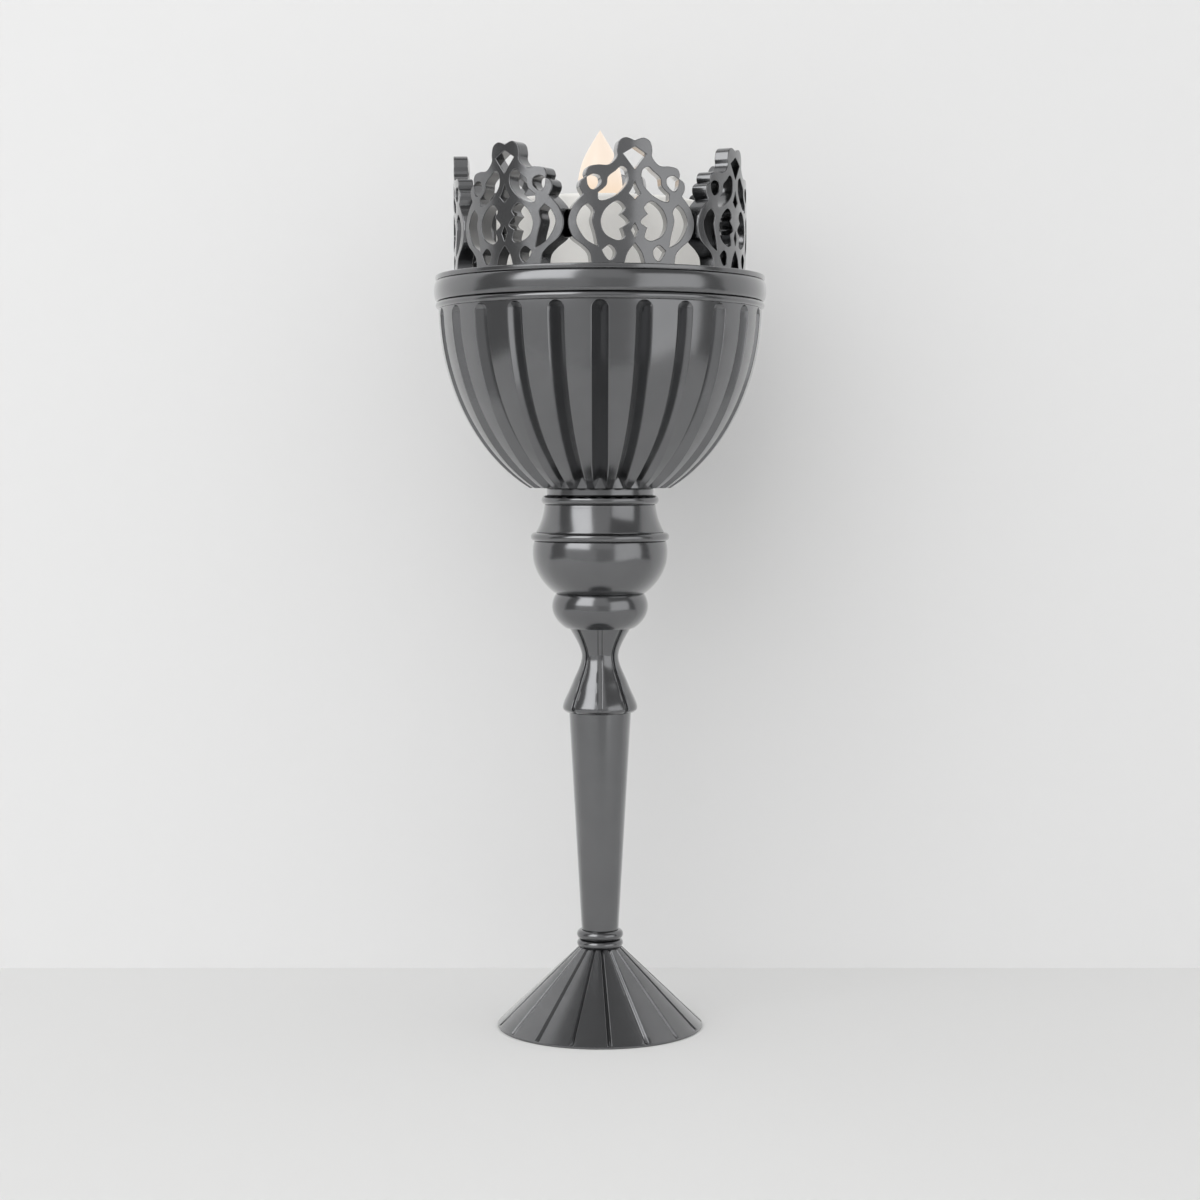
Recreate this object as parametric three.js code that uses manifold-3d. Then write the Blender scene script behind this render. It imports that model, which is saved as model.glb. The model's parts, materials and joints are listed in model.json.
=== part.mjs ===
import * as THREE from 'three';
import { mergeVertices } from 'three/addons/utils/BufferGeometryUtils.js';
import Module from 'manifold-3d';

const wasm = await Module();
wasm.setup();

// A stacked metal tea light holder with an electric tea light, in millimetres, +Z up, front towards -Y

// Tie bolt that holds the turned stack together
const BOLT_RADIUS = 1.5;
const BOLT_CLEARANCE = 0.3;
const BOLT_END = 1;
const NUT_WALL = 1.6;
const NUT_HEIGHT = 2.4;
const NUT_CLEARANCE = 0.15;
const NUT_SIDES = 6;
const WASHER_RIM = 2.1;
const WASHER_HEIGHT = 0.5;

// Foot
const FOOT_RADIUS = 18.6;
const FOOT_HEIGHT = 14.4;
const FOOT_TOP_RADIUS = 3.9;
const FOOT_LIP_HEIGHT = 0.45;
const FOOT_LIP_CHAMFER = 0.1;
const FOOT_WALL = 1.6;
const FOOT_CROWN = 4.8;
const FOOT_GROOVES = 17;
const FOOT_GROOVE_ANGLE = 5.4;
const FOOT_GROOVE_WIDTH = 0.9;
const FOOT_GROOVE_DEPTH = 0.45;
const FOOT_GROOVE_TOP_WIDTH = 0.6;
const FOOT_GROOVE_TOP_DEPTH = 0.3;
const FOOT_GROOVE_RUNOUT = 0.15;

// Two rings above the foot
const LOWER_RING_RADIUS = 4.17;
const LOWER_RING_HEIGHT = 1.45;
const UPPER_RING_RADIUS = 4.2;
const UPPER_RING_HEIGHT = 1.75;

// Stem
const STEM_HEIGHT = 39.7;
const STEM_BOTTOM_RADIUS = 3.34;
const STEM_TOP_RADIUS = 5.6;

// Grooved neck
const NECK_BASE_RADIUS = 6.7;
const NECK_WAIST_RADIUS = 3.32;
const NECK_BELOW_WAIST = 10.2;
const NECK_ABOVE_WAIST = 4.9;
const NECK_TOP_RADIUS = 5.5;
const NECK_UNDERCUT = 0.45;
const NECK_SHOULDER = 1.1;
const NECK_GROOVES = 8;
const NECK_GROOVE_WIDTH = 0.8;
const NECK_GROOVE_DEPTH = 0.45;

// Knops, cover and beads
const LOWER_KNOP_RADIUS = 8.64;
const LOWER_KNOP_UNDERCUT = 2.45;
const LOWER_KNOP_BELOW = 3.95;
const LOWER_KNOP_ABOVE = 2.35;
const UPPER_KNOP_RADIUS = 12.13;
const UPPER_KNOP_UNDERCUT = 4;
const UPPER_KNOP_BELOW = 7.35;
const UPPER_KNOP_ABOVE = 2.05;
const KNOP_RING_RADIUS = 12.45;
const KNOP_RING_HEIGHT = 1.5;
const COVER_HEIGHT = 5;
const COVER_BOTTOM_RADIUS = 11.55;
const COVER_TOP_RADIUS = 9.98;
const COVER_HOLLOW = 0.3;
const KNOP_BEAD_RADIUS = 10.54;
const KNOP_BEAD_HEIGHT = 1.7;
const COLLAR_RADIUS = 9.6;
const COLLAR_HEIGHT = 1.3;

// Fluted bowl, half an ellipsoid on a flat disc that shows where the flutes run out
const BOWL_HEIGHT = 31.8;
const BOWL_STEP = 0.55;
const BOWL_BOTTOM_RADIUS = 12.75;
const BOWL_EQUATOR_ABOVE = 0.5;
const BOWL_WALL = 2.8;
const BOWL_FLOOR = 2.4;
const BOWL_DISC_RADIUS = 12.2;
const BOWL_DISC_HEIGHT = 1.8;
const FLUTES = 24;
const FLUTE_WIDTH = 2.9;
const FLUTE_DEPTH = 1.95;
const FLUTE_BOTTOM_LAND = 1.07;
const FLUTE_TOP_GAP = 0.1;

// Rim
const RIM_BEAD_STEP = 0.05;
const RIM_BEAD_HEIGHT = 1.3;
const RIM_BAND_BULGE = 0.25;
const RIM_BAND_HEIGHT = 3.7;

// Cup that drops into the rim, with the well for the tea light
const CUP_LEDGE = 3.3;
const CUP_WALL = 0.9;
const CUP_DEPTH = 7.2;
const CUP_CLEARANCE = 0.3;

// Pierced crown
const CROWN_PANELS = 7;
const CROWN_ANGLE = 12.95;
const CROWN_ROOM = 5.1;
const CROWN_WALL = 2.5;
const CROWN_HEIGHT = 21.15;
const CROWN_GAP = 0.73;

// Tea light
const TEA_LIGHT_RADIUS = 18.5;
const TEA_LIGHT_HEIGHT = 20;
const TEA_LIGHT_CLEARANCE = 0.6;
const TEA_LIGHT_EDGE = 0.4;
const SHELL_WALL = 1;
const SHELL_LEDGE = 0.8;
const SHELL_TOP = 1.4;
const FLAME_RADIUS = 4;
const FLAME_SHOULDER_RADIUS = 3;
const FLAME_BELOW = 2.95;
const FLAME_MIDDLE = 4.95;
const FLAME_TIP = 5.3;
const FLAME_ROOM = 0.4;
const FLAME_WALL = 0.9;
const FLAME_TIP_WALL = 2.25;
const LED_RADIUS = 1.5;
const LED_CLEARANCE = 0.2;
const LED_FLANGE = 0.5;
const LED_FLANGE_HEIGHT = 1;
const LED_ABOVE_TOP = 3;
const LEAD_WIDTH = 0.5;
const LEAD_APART = 2.54;

// Base of the tea light, with the battery, its door and the switch
const BASE_RECESS = 0.4;
const BASE_HEIGHT = 1.6;
const BASE_CLEARANCE = 0.3;
const BATTERY_RADIUS = 10;
const BATTERY_HEIGHT = 3.2;
const BATTERY_CLEARANCE = 0.4;
const BATTERY_EDGE = 0.6;
const BATTERY_GAP = 0.6;
const HOLDER_WALL = 0.6;
const HOLDER_ABOVE_BATTERY = 1.6;
const DOOR_FLANGE = 1;
const DOOR_FLANGE_HEIGHT = 0.6;
const DOOR_CLEARANCE = 0.3;
const DOOR_LUGS = 2;
const DOOR_LUG_REACH = 0.8;
const DOOR_LUG_WIDTH = 4;
const DOOR_LUG_HEIGHT = 0.8;
const DOOR_TURN = 40;
const COIN_SLOT_LENGTH = 12;
const COIN_SLOT_WIDTH = 1.6;
const COIN_SLOT_DEPTH = 0.9;
const CONTACT_HEIGHT = 0.3;
const CONTACT_WIDTH = 2.4;
const SWITCH_KNOB = 2;
const SWITCH_KNOB_WIDTH = 2;
const SWITCH_KNOB_RECESS = 0.1;
const SWITCH_TRAVEL = 2.4;
const SWITCH_CLEARANCE = 0.3;
const SWITCH_OVERLAP = 0.5;
const SWITCH_HEIGHT = 0.8;
const SWITCH_GAP = 0.6;

// Sections of the grooves from edge to edge, as shares of half their width and of their depth
const CHANNEL_SECTION = [[-1, 0], [-0.85, 1], [0.85, 1], [1, 0]];
const VEE_SECTION = [[-1, 0], [0, 1], [1, 0]];

// Fineness of the turned pieces
const WIDE_SIDES = 48;
const MIDDLE_SIDES = 32;
const SLIM_SIDES = 20;
const WIRE_SIDES = 12;
const ROUND_STEPS = 4;
const HALF_ROUND_STEPS = 2;
const BOWL_STEPS = 6;
const HOLLOW_STEPS = 5;
const NECK_STEPS = 9;
const KNOP_STEPS = 6;
const FLUTE_END_STEPS = 3;
const FLAME_STEPS = 6;
const CROWN_SIDES = 4 * CROWN_PANELS;
const PANEL_FINENESS = 0.67;
const CUT_MARGIN = 1;

// Colours and finish
const metal = { color: 0x737476, roughness: 0.42, metalness: 0.9 };
const bolted = { color: 0x8d8f92, roughness: 0.4, metalness: 0.9 };
const wax = { color: 0xd2cfc8, roughness: 0.6, metalness: 0 };
const peach = { color: 0xf7e4cd, roughness: 0.45, metalness: 0 };
const plastic = { color: 0xdedbd4, roughness: 0.55, metalness: 0 };
const cell = { color: 0xb9bbbe, roughness: 0.35, metalness: 0.9 };
const strip = { color: 0xc2b280, roughness: 0.4, metalness: 0.9 };
const lens = { color: 0xf4d9a6, roughness: 0.2, metalness: 0 };

const boltBore = BOLT_RADIUS + BOLT_CLEARANCE;

function degrees(angle) {
  return THREE.MathUtils.degToRad(angle);
}

function solidOf(geometry) {
  geometry.deleteAttribute('normal');
  geometry.deleteAttribute('uv');
  const merged = mergeVertices(geometry);
  const vertProperties = new Float32Array(merged.attributes.position.array);
  const triVerts = new Uint32Array(merged.index.array);
  return new wasm.Manifold(new wasm.Mesh({ numProp: 3, vertProperties, triVerts }));
}

function geometryOf(solid) {
  const { vertProperties, triVerts } = solid.getMesh();
  const geometry = new THREE.BufferGeometry();
  geometry.setAttribute('position', new THREE.BufferAttribute(new Float32Array(vertProperties), 3));
  geometry.setIndex(new THREE.BufferAttribute(new Uint32Array(triVerts), 1));
  geometry.computeVertexNormals();
  return geometry;
}

function addMesh(group, name, geometry, finish) {
  const mesh = new THREE.Mesh(geometry, new THREE.MeshStandardMaterial(finish));
  mesh.name = name;
  group.add(mesh);
  return mesh;
}

// Solid turned about Z from an outline of [radius, height] that runs counterclockwise
function turned(outline, sides) {
  const points = outline.map(([radius, height]) => new THREE.Vector2(radius, height));
  return new THREE.LatheGeometry(points, sides).rotateX(Math.PI / 2);
}

// Ring turned about Z: the outside from bottom to top, and a plain bore
function turnedRing(outside, bore, sides) {
  const bottom = outside[0][1];
  const top = outside[outside.length - 1][1];
  return turned([[bore, bottom], ...outside, [bore, top], [bore, bottom]], sides);
}

// Outside of a bead: a rounded edge from the bottom to the top
function beadOutside(radius, bottom, height) {
  const round = height / 2;
  return Array.from({ length: ROUND_STEPS + 1 }, (_, step) => {
    const angle = Math.PI * (step / ROUND_STEPS - 0.5);
    return [radius - round + round * Math.cos(angle), bottom + round + round * Math.sin(angle)];
  });
}

// Quarter ellipse from one [radius, height] to another, level or upright at its widest point
function bulge(from, to, steps) {
  const rising = from[0] < to[0];
  return Array.from({ length: steps + 1 }, (_, step) => {
    const angle = (Math.PI / 2) * (step / steps);
    const out = rising ? Math.sin(angle) : Math.cos(angle);
    const up = rising ? 1 - Math.cos(angle) : Math.sin(angle);
    const inner = Math.min(from[0], to[0]);
    return [inner + Math.abs(to[0] - from[0]) * out, from[1] + (to[1] - from[1]) * up];
  });
}

function splineOutline(points, steps) {
  const curve = new THREE.SplineCurve(points.map(([x, y]) => new THREE.Vector2(x, y)));
  return curve.getPoints(steps).map((point) => [point.x, point.y]);
}

// Closed solid from level rings of [radius, angle, height], all with the same number of points
function ringSolid(rings) {
  const count = rings[0].length;
  const positions = [];
  const place = ([radius, angle, height]) => {
    positions.push(radius * Math.sin(angle), -radius * Math.cos(angle), height);
  };
  rings.forEach((ring) => ring.forEach(place));
  const bottomCentre = rings.length * count;
  const topCentre = bottomCentre + 1;
  place([0, 0, rings[0][0][2]]);
  place([0, 0, rings[rings.length - 1][0][2]]);
  const triangles = [];
  for (let side = 0; side < count; side += 1) {
    const next = (side + 1) % count;
    for (let level = 0; level < rings.length - 1; level += 1) {
      const low = level * count;
      const high = low + count;
      triangles.push(low + side, low + next, high + next, low + side, high + next, high + side);
    }
    const last = (rings.length - 1) * count;
    triangles.push(bottomCentre, next, side, topCentre, last + side, last + next);
  }
  const geometry = new THREE.BufferGeometry();
  geometry.setAttribute('position', new THREE.Float32BufferAttribute(positions, 3));
  geometry.setIndex(triangles);
  return geometry;
}

// One level of a piece with grooves cut into it: the section of each groove, then the middle of the land
function cutRing(radius, height, groove) {
  const { section, count, start, width, depth, inward = 1, lift = 0 } = groove;
  const pitch = (2 * Math.PI) / count;
  const half = Math.asin(width / 2 / radius);
  const ring = [];
  for (let copy = 0; copy < count; copy += 1) {
    const centre = start + copy * pitch;
    for (const [across, down] of section) {
      const cut = depth * down;
      ring.push([radius - cut * inward, centre + half * across, height + cut * lift]);
    }
    ring.push([radius, centre + pitch / 2, height]);
  }
  return ring;
}

function box(width, depth, height, centre) {
  return new THREE.BoxGeometry(width, depth, height).translate(...centre);
}

// Heights of the stacked pieces
const lowerRingBottom = FOOT_HEIGHT;
const upperRingBottom = lowerRingBottom + LOWER_RING_HEIGHT;
const stemBottom = upperRingBottom + UPPER_RING_HEIGHT;
const neckBottom = stemBottom + STEM_HEIGHT;
const neckHeight = NECK_BELOW_WAIST + NECK_ABOVE_WAIST;
const lowerKnopBottom = neckBottom + neckHeight;
const lowerKnopWidest = lowerKnopBottom + LOWER_KNOP_BELOW;
const upperKnopBottom = lowerKnopWidest + LOWER_KNOP_ABOVE;
const upperKnopWidest = upperKnopBottom + UPPER_KNOP_BELOW;
const knopRingBottom = upperKnopWidest + UPPER_KNOP_ABOVE;
const coverBottom = knopRingBottom + KNOP_RING_HEIGHT;
const knopBeadBottom = coverBottom + COVER_HEIGHT;
const collarBottom = knopBeadBottom + KNOP_BEAD_HEIGHT;
const bowlBottom = collarBottom + COLLAR_HEIGHT;
const bowlTop = bowlBottom + BOWL_HEIGHT;
const rimBandBottom = bowlTop + RIM_BEAD_HEIGHT;
const flangeBottom = rimBandBottom + RIM_BAND_HEIGHT;
const flangeTop = flangeBottom + CUP_WALL;
const wellFloor = flangeTop - CUP_DEPTH;

const footCeiling = FOOT_HEIGHT - FOOT_CROWN;

// Radii that follow from the tea light outwards
const wellRadius = TEA_LIGHT_RADIUS + TEA_LIGHT_CLEARANCE;
const crownInside = TEA_LIGHT_RADIUS + CROWN_ROOM;
const crownOutside = crownInside + CROWN_WALL;
const flangeRadius = crownOutside + CUP_LEDGE;
const bandRadius = flangeRadius + RIM_BAND_BULGE;
const rimBeadRadius = flangeRadius - RIM_BEAD_STEP;
const bowlRadius = flangeRadius - BOWL_STEP;
const rimBore = bowlRadius - BOWL_WALL;
const bandBore = wellRadius + CUP_WALL + CUP_CLEARANCE;

function makeFoot() {
  const coneSlope = (FOOT_RADIUS - FOOT_LIP_CHAMFER - FOOT_TOP_RADIUS) / (FOOT_HEIGHT - FOOT_LIP_HEIGHT);
  const slant = Math.hypot(1, coneSlope);
  const coneRadius = (height) => FOOT_TOP_RADIUS + coneSlope * (FOOT_HEIGHT - height);
  const groove = { section: VEE_SECTION, count: FOOT_GROOVES, start: degrees(FOOT_GROOVE_ANGLE) };
  const plain = { ...groove, width: FOOT_GROOVE_WIDTH, depth: 0 };
  const wide = { ...groove, width: FOOT_GROOVE_WIDTH, depth: FOOT_GROOVE_DEPTH * slant };
  const narrow = { ...groove, width: FOOT_GROOVE_TOP_WIDTH, depth: FOOT_GROOVE_TOP_DEPTH * slant };
  const grooveEnd = FOOT_LIP_HEIGHT + FOOT_GROOVE_RUNOUT;
  const outer = solidOf(ringSolid([
    cutRing(FOOT_RADIUS, 0, plain),
    cutRing(FOOT_RADIUS, FOOT_LIP_HEIGHT - FOOT_LIP_CHAMFER, plain),
    cutRing(FOOT_RADIUS - FOOT_LIP_CHAMFER, FOOT_LIP_HEIGHT, plain),
    cutRing(coneRadius(grooveEnd), grooveEnd, wide),
    cutRing(FOOT_TOP_RADIUS, FOOT_HEIGHT, narrow),
  ]));
  const wall = FOOT_WALL * slant;
  const hollow = solidOf(turned([
    [0, -CUT_MARGIN],
    [coneRadius(-CUT_MARGIN) - wall, -CUT_MARGIN],
    [coneRadius(footCeiling) - wall, footCeiling],
    [boltBore, footCeiling],
    [boltBore, FOOT_HEIGHT + CUT_MARGIN],
    [0, FOOT_HEIGHT + CUT_MARGIN],
  ], MIDDLE_SIDES));
  return geometryOf(outer.subtract(hollow));
}

function makeNeck() {
  const outline = splineOutline([
    [NECK_BASE_RADIUS - NECK_UNDERCUT, 0],
    [NECK_BASE_RADIUS, NECK_SHOULDER],
    [(NECK_BASE_RADIUS + NECK_WAIST_RADIUS) / 2, NECK_BELOW_WAIST / 2],
    [NECK_WAIST_RADIUS, NECK_BELOW_WAIST],
    [NECK_TOP_RADIUS, neckHeight],
  ], NECK_STEPS);
  const groove = {
    section: CHANNEL_SECTION,
    count: NECK_GROOVES,
    start: 0,
    width: NECK_GROOVE_WIDTH,
    depth: NECK_GROOVE_DEPTH,
  };
  const outer = solidOf(ringSolid(outline.map(([radius, height]) => cutRing(radius, height, groove))));
  const bore = solidOf(turned([
    [0, -CUT_MARGIN],
    [boltBore, -CUT_MARGIN],
    [boltBore, neckHeight + CUT_MARGIN],
    [0, neckHeight + CUT_MARGIN],
  ], WIRE_SIDES));
  return geometryOf(outer.subtract(bore));
}

// Zone of an ellipsoid between two levels, wider than its bottom edge by the undercut
function makeKnop(radius, undercut, bottom, widest, top) {
  const halfHeight = (widest - bottom) / Math.sqrt(1 - (1 - undercut / radius) ** 2);
  const from = Math.asin((bottom - widest) / halfHeight);
  const to = Math.asin((top - widest) / halfHeight);
  const outside = Array.from({ length: KNOP_STEPS + 1 }, (_, step) => {
    const angle = from + (to - from) * (step / KNOP_STEPS);
    return [radius * Math.cos(angle), widest + halfHeight * Math.sin(angle)];
  });
  return turnedRing(outside, boltBore, MIDDLE_SIDES);
}

function makeBowl() {
  const centre = BOWL_HEIGHT + BOWL_EQUATOR_ABOVE;
  const startAngle = Math.asin(BOWL_BOTTOM_RADIUS / bowlRadius);
  const halfHeight = centre / Math.cos(startAngle);
  const angleAt = (height) => Math.acos((centre - height) / halfHeight);
  const pitch = (2 * Math.PI) / FLUTES;
  const fluteRadius = FLUTE_WIDTH / 2;
  const bottomShare = (BOWL_BOTTOM_RADIUS * Math.sin(pitch / 2) - FLUTE_BOTTOM_LAND / 2) / fluteRadius;
  const fluteEnd = BOWL_HEIGHT - FLUTE_TOP_GAP - fluteRadius;
  const leastShare = 0.25;

  // One level round the bowl, its flutes cut square to the surface, but level at the flat bottom
  const level = (angle, share, isBottom) => {
    const normal = new THREE.Vector2(halfHeight * Math.sin(angle), -bowlRadius * Math.cos(angle));
    normal.normalize();
    const widthShare = isBottom ? bottomShare : Math.max(share, leastShare);
    return cutRing(bowlRadius * Math.sin(angle), centre - halfHeight * Math.cos(angle), {
      section: VEE_SECTION,
      count: FLUTES,
      start: 0,
      width: FLUTE_WIDTH * widthShare,
      depth: FLUTE_DEPTH * share,
      inward: isBottom ? 1 / normal.x : normal.x,
      lift: isBottom ? 0 : -normal.y,
    });
  };

  const straightEnd = angleAt(fluteEnd);
  const rings = Array.from({ length: BOWL_STEPS }, (_, step) => {
    const angle = startAngle + (straightEnd - startAngle) * (step / (BOWL_STEPS - 1));
    return level(angle, 1, step === 0);
  });
  for (let step = 1; step <= FLUTE_END_STEPS; step += 1) {
    const turn = (Math.PI / 2) * (step / FLUTE_END_STEPS);
    rings.push(level(angleAt(fluteEnd + fluteRadius * Math.sin(turn)), Math.cos(turn), false));
  }
  rings.push(level(angleAt(BOWL_HEIGHT), 0, false));
  const disc = turned([
    [0, 0],
    [BOWL_DISC_RADIUS, 0],
    [BOWL_DISC_RADIUS, BOWL_DISC_HEIGHT],
    [0, BOWL_DISC_HEIGHT],
  ], MIDDLE_SIDES);
  const outer = solidOf(ringSolid(rings)).add(solidOf(disc));

  // Hollow that follows the outside
  const innerHalfHeight = halfHeight - BOWL_WALL;
  const floorAngle = Math.acos((centre - BOWL_FLOOR) / innerHalfHeight);
  const inside = Array.from({ length: HOLLOW_STEPS }, (_, step) => {
    const angle = floorAngle + (Math.PI / 2 - floorAngle) * (step / (HOLLOW_STEPS - 1));
    return [rimBore * Math.sin(angle), centre - innerHalfHeight * Math.cos(angle)];
  });
  const hollow = solidOf(turned([
    [0, -CUT_MARGIN],
    [boltBore, -CUT_MARGIN],
    [boltBore, BOWL_FLOOR],
    ...inside,
    [0, centre],
  ], WIDE_SIDES));
  return geometryOf(outer.subtract(hollow));
}

function makeRimBand() {
  const middle = rimBandBottom + RIM_BAND_HEIGHT / 2;
  const lower = bulge([flangeRadius, rimBandBottom], [bandRadius, middle], HALF_ROUND_STEPS);
  const upper = bulge([bandRadius, middle], [flangeRadius, flangeBottom], HALF_ROUND_STEPS);
  return turnedRing([...lower, ...upper.slice(1)], bandBore, WIDE_SIDES);
}

function makeCup() {
  return turned([
    [0, wellFloor - CUP_WALL],
    [wellRadius + CUP_WALL, wellFloor - CUP_WALL],
    [wellRadius + CUP_WALL, flangeBottom],
    [flangeRadius, flangeBottom],
    [flangeRadius, flangeTop],
    [wellRadius, flangeTop],
    [wellRadius, wellFloor],
    [0, wellFloor],
  ], WIDE_SIDES);
}

// Ornament of one crown panel: smooth stretches that meet in corners, right half only
const topLobe = [
  [0, 20.75], [1.5, 21.25], [2.7, 20.65], [3.08, 19.3], [3.1, 18], [4.4, 16.68], [6.2, 16.65], [7.7, 16.35],
  [8.2, 15.4], [8.05, 14.7],
];
const middleLobe = [[8.05, 14.7], [9, 14.05], [9.15, 12.9], [8.6, 11.75]];
const lowerLobe = [[8.6, 11.75], [10.2, 9.8], [11, 7.2], [10.3, 4.7], [8.4, 3], [7.45, 1.8], [7.2, 0]];
const panelFoot = [[7.2, 0], [1.8, 0]];
const footArch = [[1.8, 0], [1.2, 2], [0, 3.6]];
const panelEdge = [topLobe, middleLobe, lowerLobe, panelFoot, footArch];
const drawnHalfWidth = Math.max(...panelEdge.flat().map(([x]) => x));
const drawnHeight = Math.max(...panelEdge.flat().map(([, y]) => y));
const middleHoles = [
  [[[0, 19.75], [2, 18.5]], [[2, 18.5], [0, 15.9]]],
  [[[0, 13.95], [0.4, 12.95], [1, 11.9]], [[1, 11.9], [0, 10.95]]],
  [[[0, 7], [0.6, 5.75]], [[0.6, 5.75], [0, 4.4]]],
];
const sideHoles = [
  [[[6.15, 12], [4.8, 13.2], [4.5, 14.6], [3.3, 15.6], [2.3, 16.4], [1.3, 15.7], [1.3, 13.8], [2.7, 12],
    [4.6, 10.9], [6, 10.75], [6.15, 12]]],
  [[[8, 14.55], [7, 15.1], [5.85, 14.7], [5.8, 13.5], [7, 12.5], [7.8, 13.2], [8, 14.55]]],
  [
    [[2.3, 8.5], [1.65, 9.6], [3, 10.65], [4.9, 9.3], [5.7, 7.2], [5, 5.1], [3, 4.05], [1.75, 4.6],
      [2.2, 6.2]],
    [[2.2, 6.2], [1, 7.15], [2.3, 8.5]],
  ],
  [
    [[7.85, 10.25], [6.9, 9.1], [7.15, 7.4], [6.6, 5.1], [6.2, 3]],
    [[6.2, 3], [8.3, 4.35], [9.65, 7.1], [9, 9.2], [7.85, 10.25]],
  ],
  [[[5.5, 2.4], [4.3, 3.3], [3.3, 2.4], [3.5, 1.2], [4.3, 0.65], [5.1, 1.5], [5.5, 2.4]]],
];

function makeCrownPanel() {
  const mitre = Math.PI / CROWN_PANELS;
  const halfWidth = crownOutside * Math.sin(mitre) - CROWN_GAP / 2;
  const scale = new THREE.Vector2(halfWidth / drawnHalfWidth, CROWN_HEIGHT / drawnHeight);

  // Points along the stretches, without the last one of each
  const trace = (stretches) => stretches.flatMap((stretch) => {
    const curve = new THREE.SplineCurve(stretch.map(([x, y]) => new THREE.Vector2(x, y)));
    const steps = stretch.length === 2 ? 1 : Math.max(2, Math.round(curve.getLength() * PANEL_FINENESS));
    return curve.getSpacedPoints(steps).slice(0, -1);
  });
  const mirrored = (stretches) => stretches.map((stretch) => stretch.map(([x, y]) => [-x, y]));
  const backwards = (stretches) => stretches.map((stretch) => [...stretch].reverse()).reverse();
  const scaled = (points) => points.map((point) => point.multiply(scale));
  const bothSides = (stretches) => [...stretches, ...backwards(mirrored(stretches))];

  const outline = scaled(trace(bothSides(panelEdge)));
  const shape = new THREE.Shape(outline.reverse());
  const holes = middleHoles.map(bothSides);
  sideHoles.forEach((hole) => holes.push(hole, backwards(mirrored(hole))));
  shape.holes = holes.map((hole) => new THREE.Path(scaled(trace(hole))));
  const plate = new THREE.ExtrudeGeometry(shape, { depth: crownOutside + CUT_MARGIN, bevelEnabled: false });
  const ring = turnedRing([
    [crownOutside, -CUT_MARGIN],
    [crownOutside, CROWN_HEIGHT + CUT_MARGIN],
  ], crownInside, CROWN_SIDES);

  // Sector between the mitres where neighbouring panels meet
  const reach = (crownOutside + CUT_MARGIN) / Math.cos(mitre);
  const wedge = new THREE.Shape([
    new THREE.Vector2(0, 0),
    new THREE.Vector2(-reach * Math.sin(mitre), -reach * Math.cos(mitre)),
    new THREE.Vector2(reach * Math.sin(mitre), -reach * Math.cos(mitre)),
  ]);
  const sectorHeight = CROWN_HEIGHT + 2 * CUT_MARGIN;
  const sector = new THREE.ExtrudeGeometry(wedge, { depth: sectorHeight, bevelEnabled: false });
  const blank = solidOf(ring).intersect(solidOf(sector.translate(0, 0, -CUT_MARGIN)));
  return geometryOf(solidOf(plate.rotateX(Math.PI / 2)).intersect(blank));
}

const holder = new THREE.Group();
addMesh(holder, 'foot', makeFoot(), metal);
addMesh(holder, 'lower_ring', turnedRing(
  beadOutside(LOWER_RING_RADIUS, lowerRingBottom, LOWER_RING_HEIGHT), boltBore, SLIM_SIDES), metal);
addMesh(holder, 'upper_ring', turnedRing(
  beadOutside(UPPER_RING_RADIUS, upperRingBottom, UPPER_RING_HEIGHT), boltBore, SLIM_SIDES), metal);
addMesh(holder, 'stem', turnedRing([
  [STEM_BOTTOM_RADIUS, stemBottom],
  [STEM_TOP_RADIUS, neckBottom],
], boltBore, SLIM_SIDES), metal);
addMesh(holder, 'neck', makeNeck(), metal).position.z = neckBottom;

addMesh(holder, 'lower_knop', makeKnop(
  LOWER_KNOP_RADIUS, LOWER_KNOP_UNDERCUT, lowerKnopBottom, lowerKnopWidest, upperKnopBottom), metal);
addMesh(holder, 'upper_knop', makeKnop(
  UPPER_KNOP_RADIUS, UPPER_KNOP_UNDERCUT, upperKnopBottom, upperKnopWidest, knopRingBottom), metal);
addMesh(holder, 'knop_ring', turnedRing(
  beadOutside(KNOP_RING_RADIUS, knopRingBottom, KNOP_RING_HEIGHT), boltBore, MIDDLE_SIDES), metal);
addMesh(holder, 'knop_cover', turnedRing(splineOutline([
  [COVER_BOTTOM_RADIUS, coverBottom],
  [(COVER_BOTTOM_RADIUS + COVER_TOP_RADIUS) / 2 - COVER_HOLLOW, coverBottom + COVER_HEIGHT / 2],
  [COVER_TOP_RADIUS, knopBeadBottom],
], ROUND_STEPS), boltBore, MIDDLE_SIDES), metal);
addMesh(holder, 'knop_bead', turnedRing(
  beadOutside(KNOP_BEAD_RADIUS, knopBeadBottom, KNOP_BEAD_HEIGHT), boltBore, MIDDLE_SIDES), metal);
addMesh(holder, 'bowl_collar', turnedRing([
  [COLLAR_RADIUS, collarBottom],
  [COLLAR_RADIUS, bowlBottom],
], boltBore, MIDDLE_SIDES), metal);
addMesh(holder, 'bowl', makeBowl(), metal).position.z = bowlBottom;
addMesh(holder, 'rim_bead', turnedRing(
  beadOutside(rimBeadRadius, bowlTop, RIM_BEAD_HEIGHT), rimBore, WIDE_SIDES), metal);
addMesh(holder, 'rim_band', makeRimBand(), metal);
addMesh(holder, 'candle_cup', makeCup(), metal);

const panelGeometry = makeCrownPanel();
for (let panel = 0; panel < CROWN_PANELS; panel += 1) {
  const mesh = addMesh(holder, `crown_panel_${panel + 1}`, panelGeometry, metal);
  mesh.position.z = flangeTop;
  mesh.rotation.z = degrees(CROWN_ANGLE + (360 / CROWN_PANELS) * panel);
}

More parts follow.
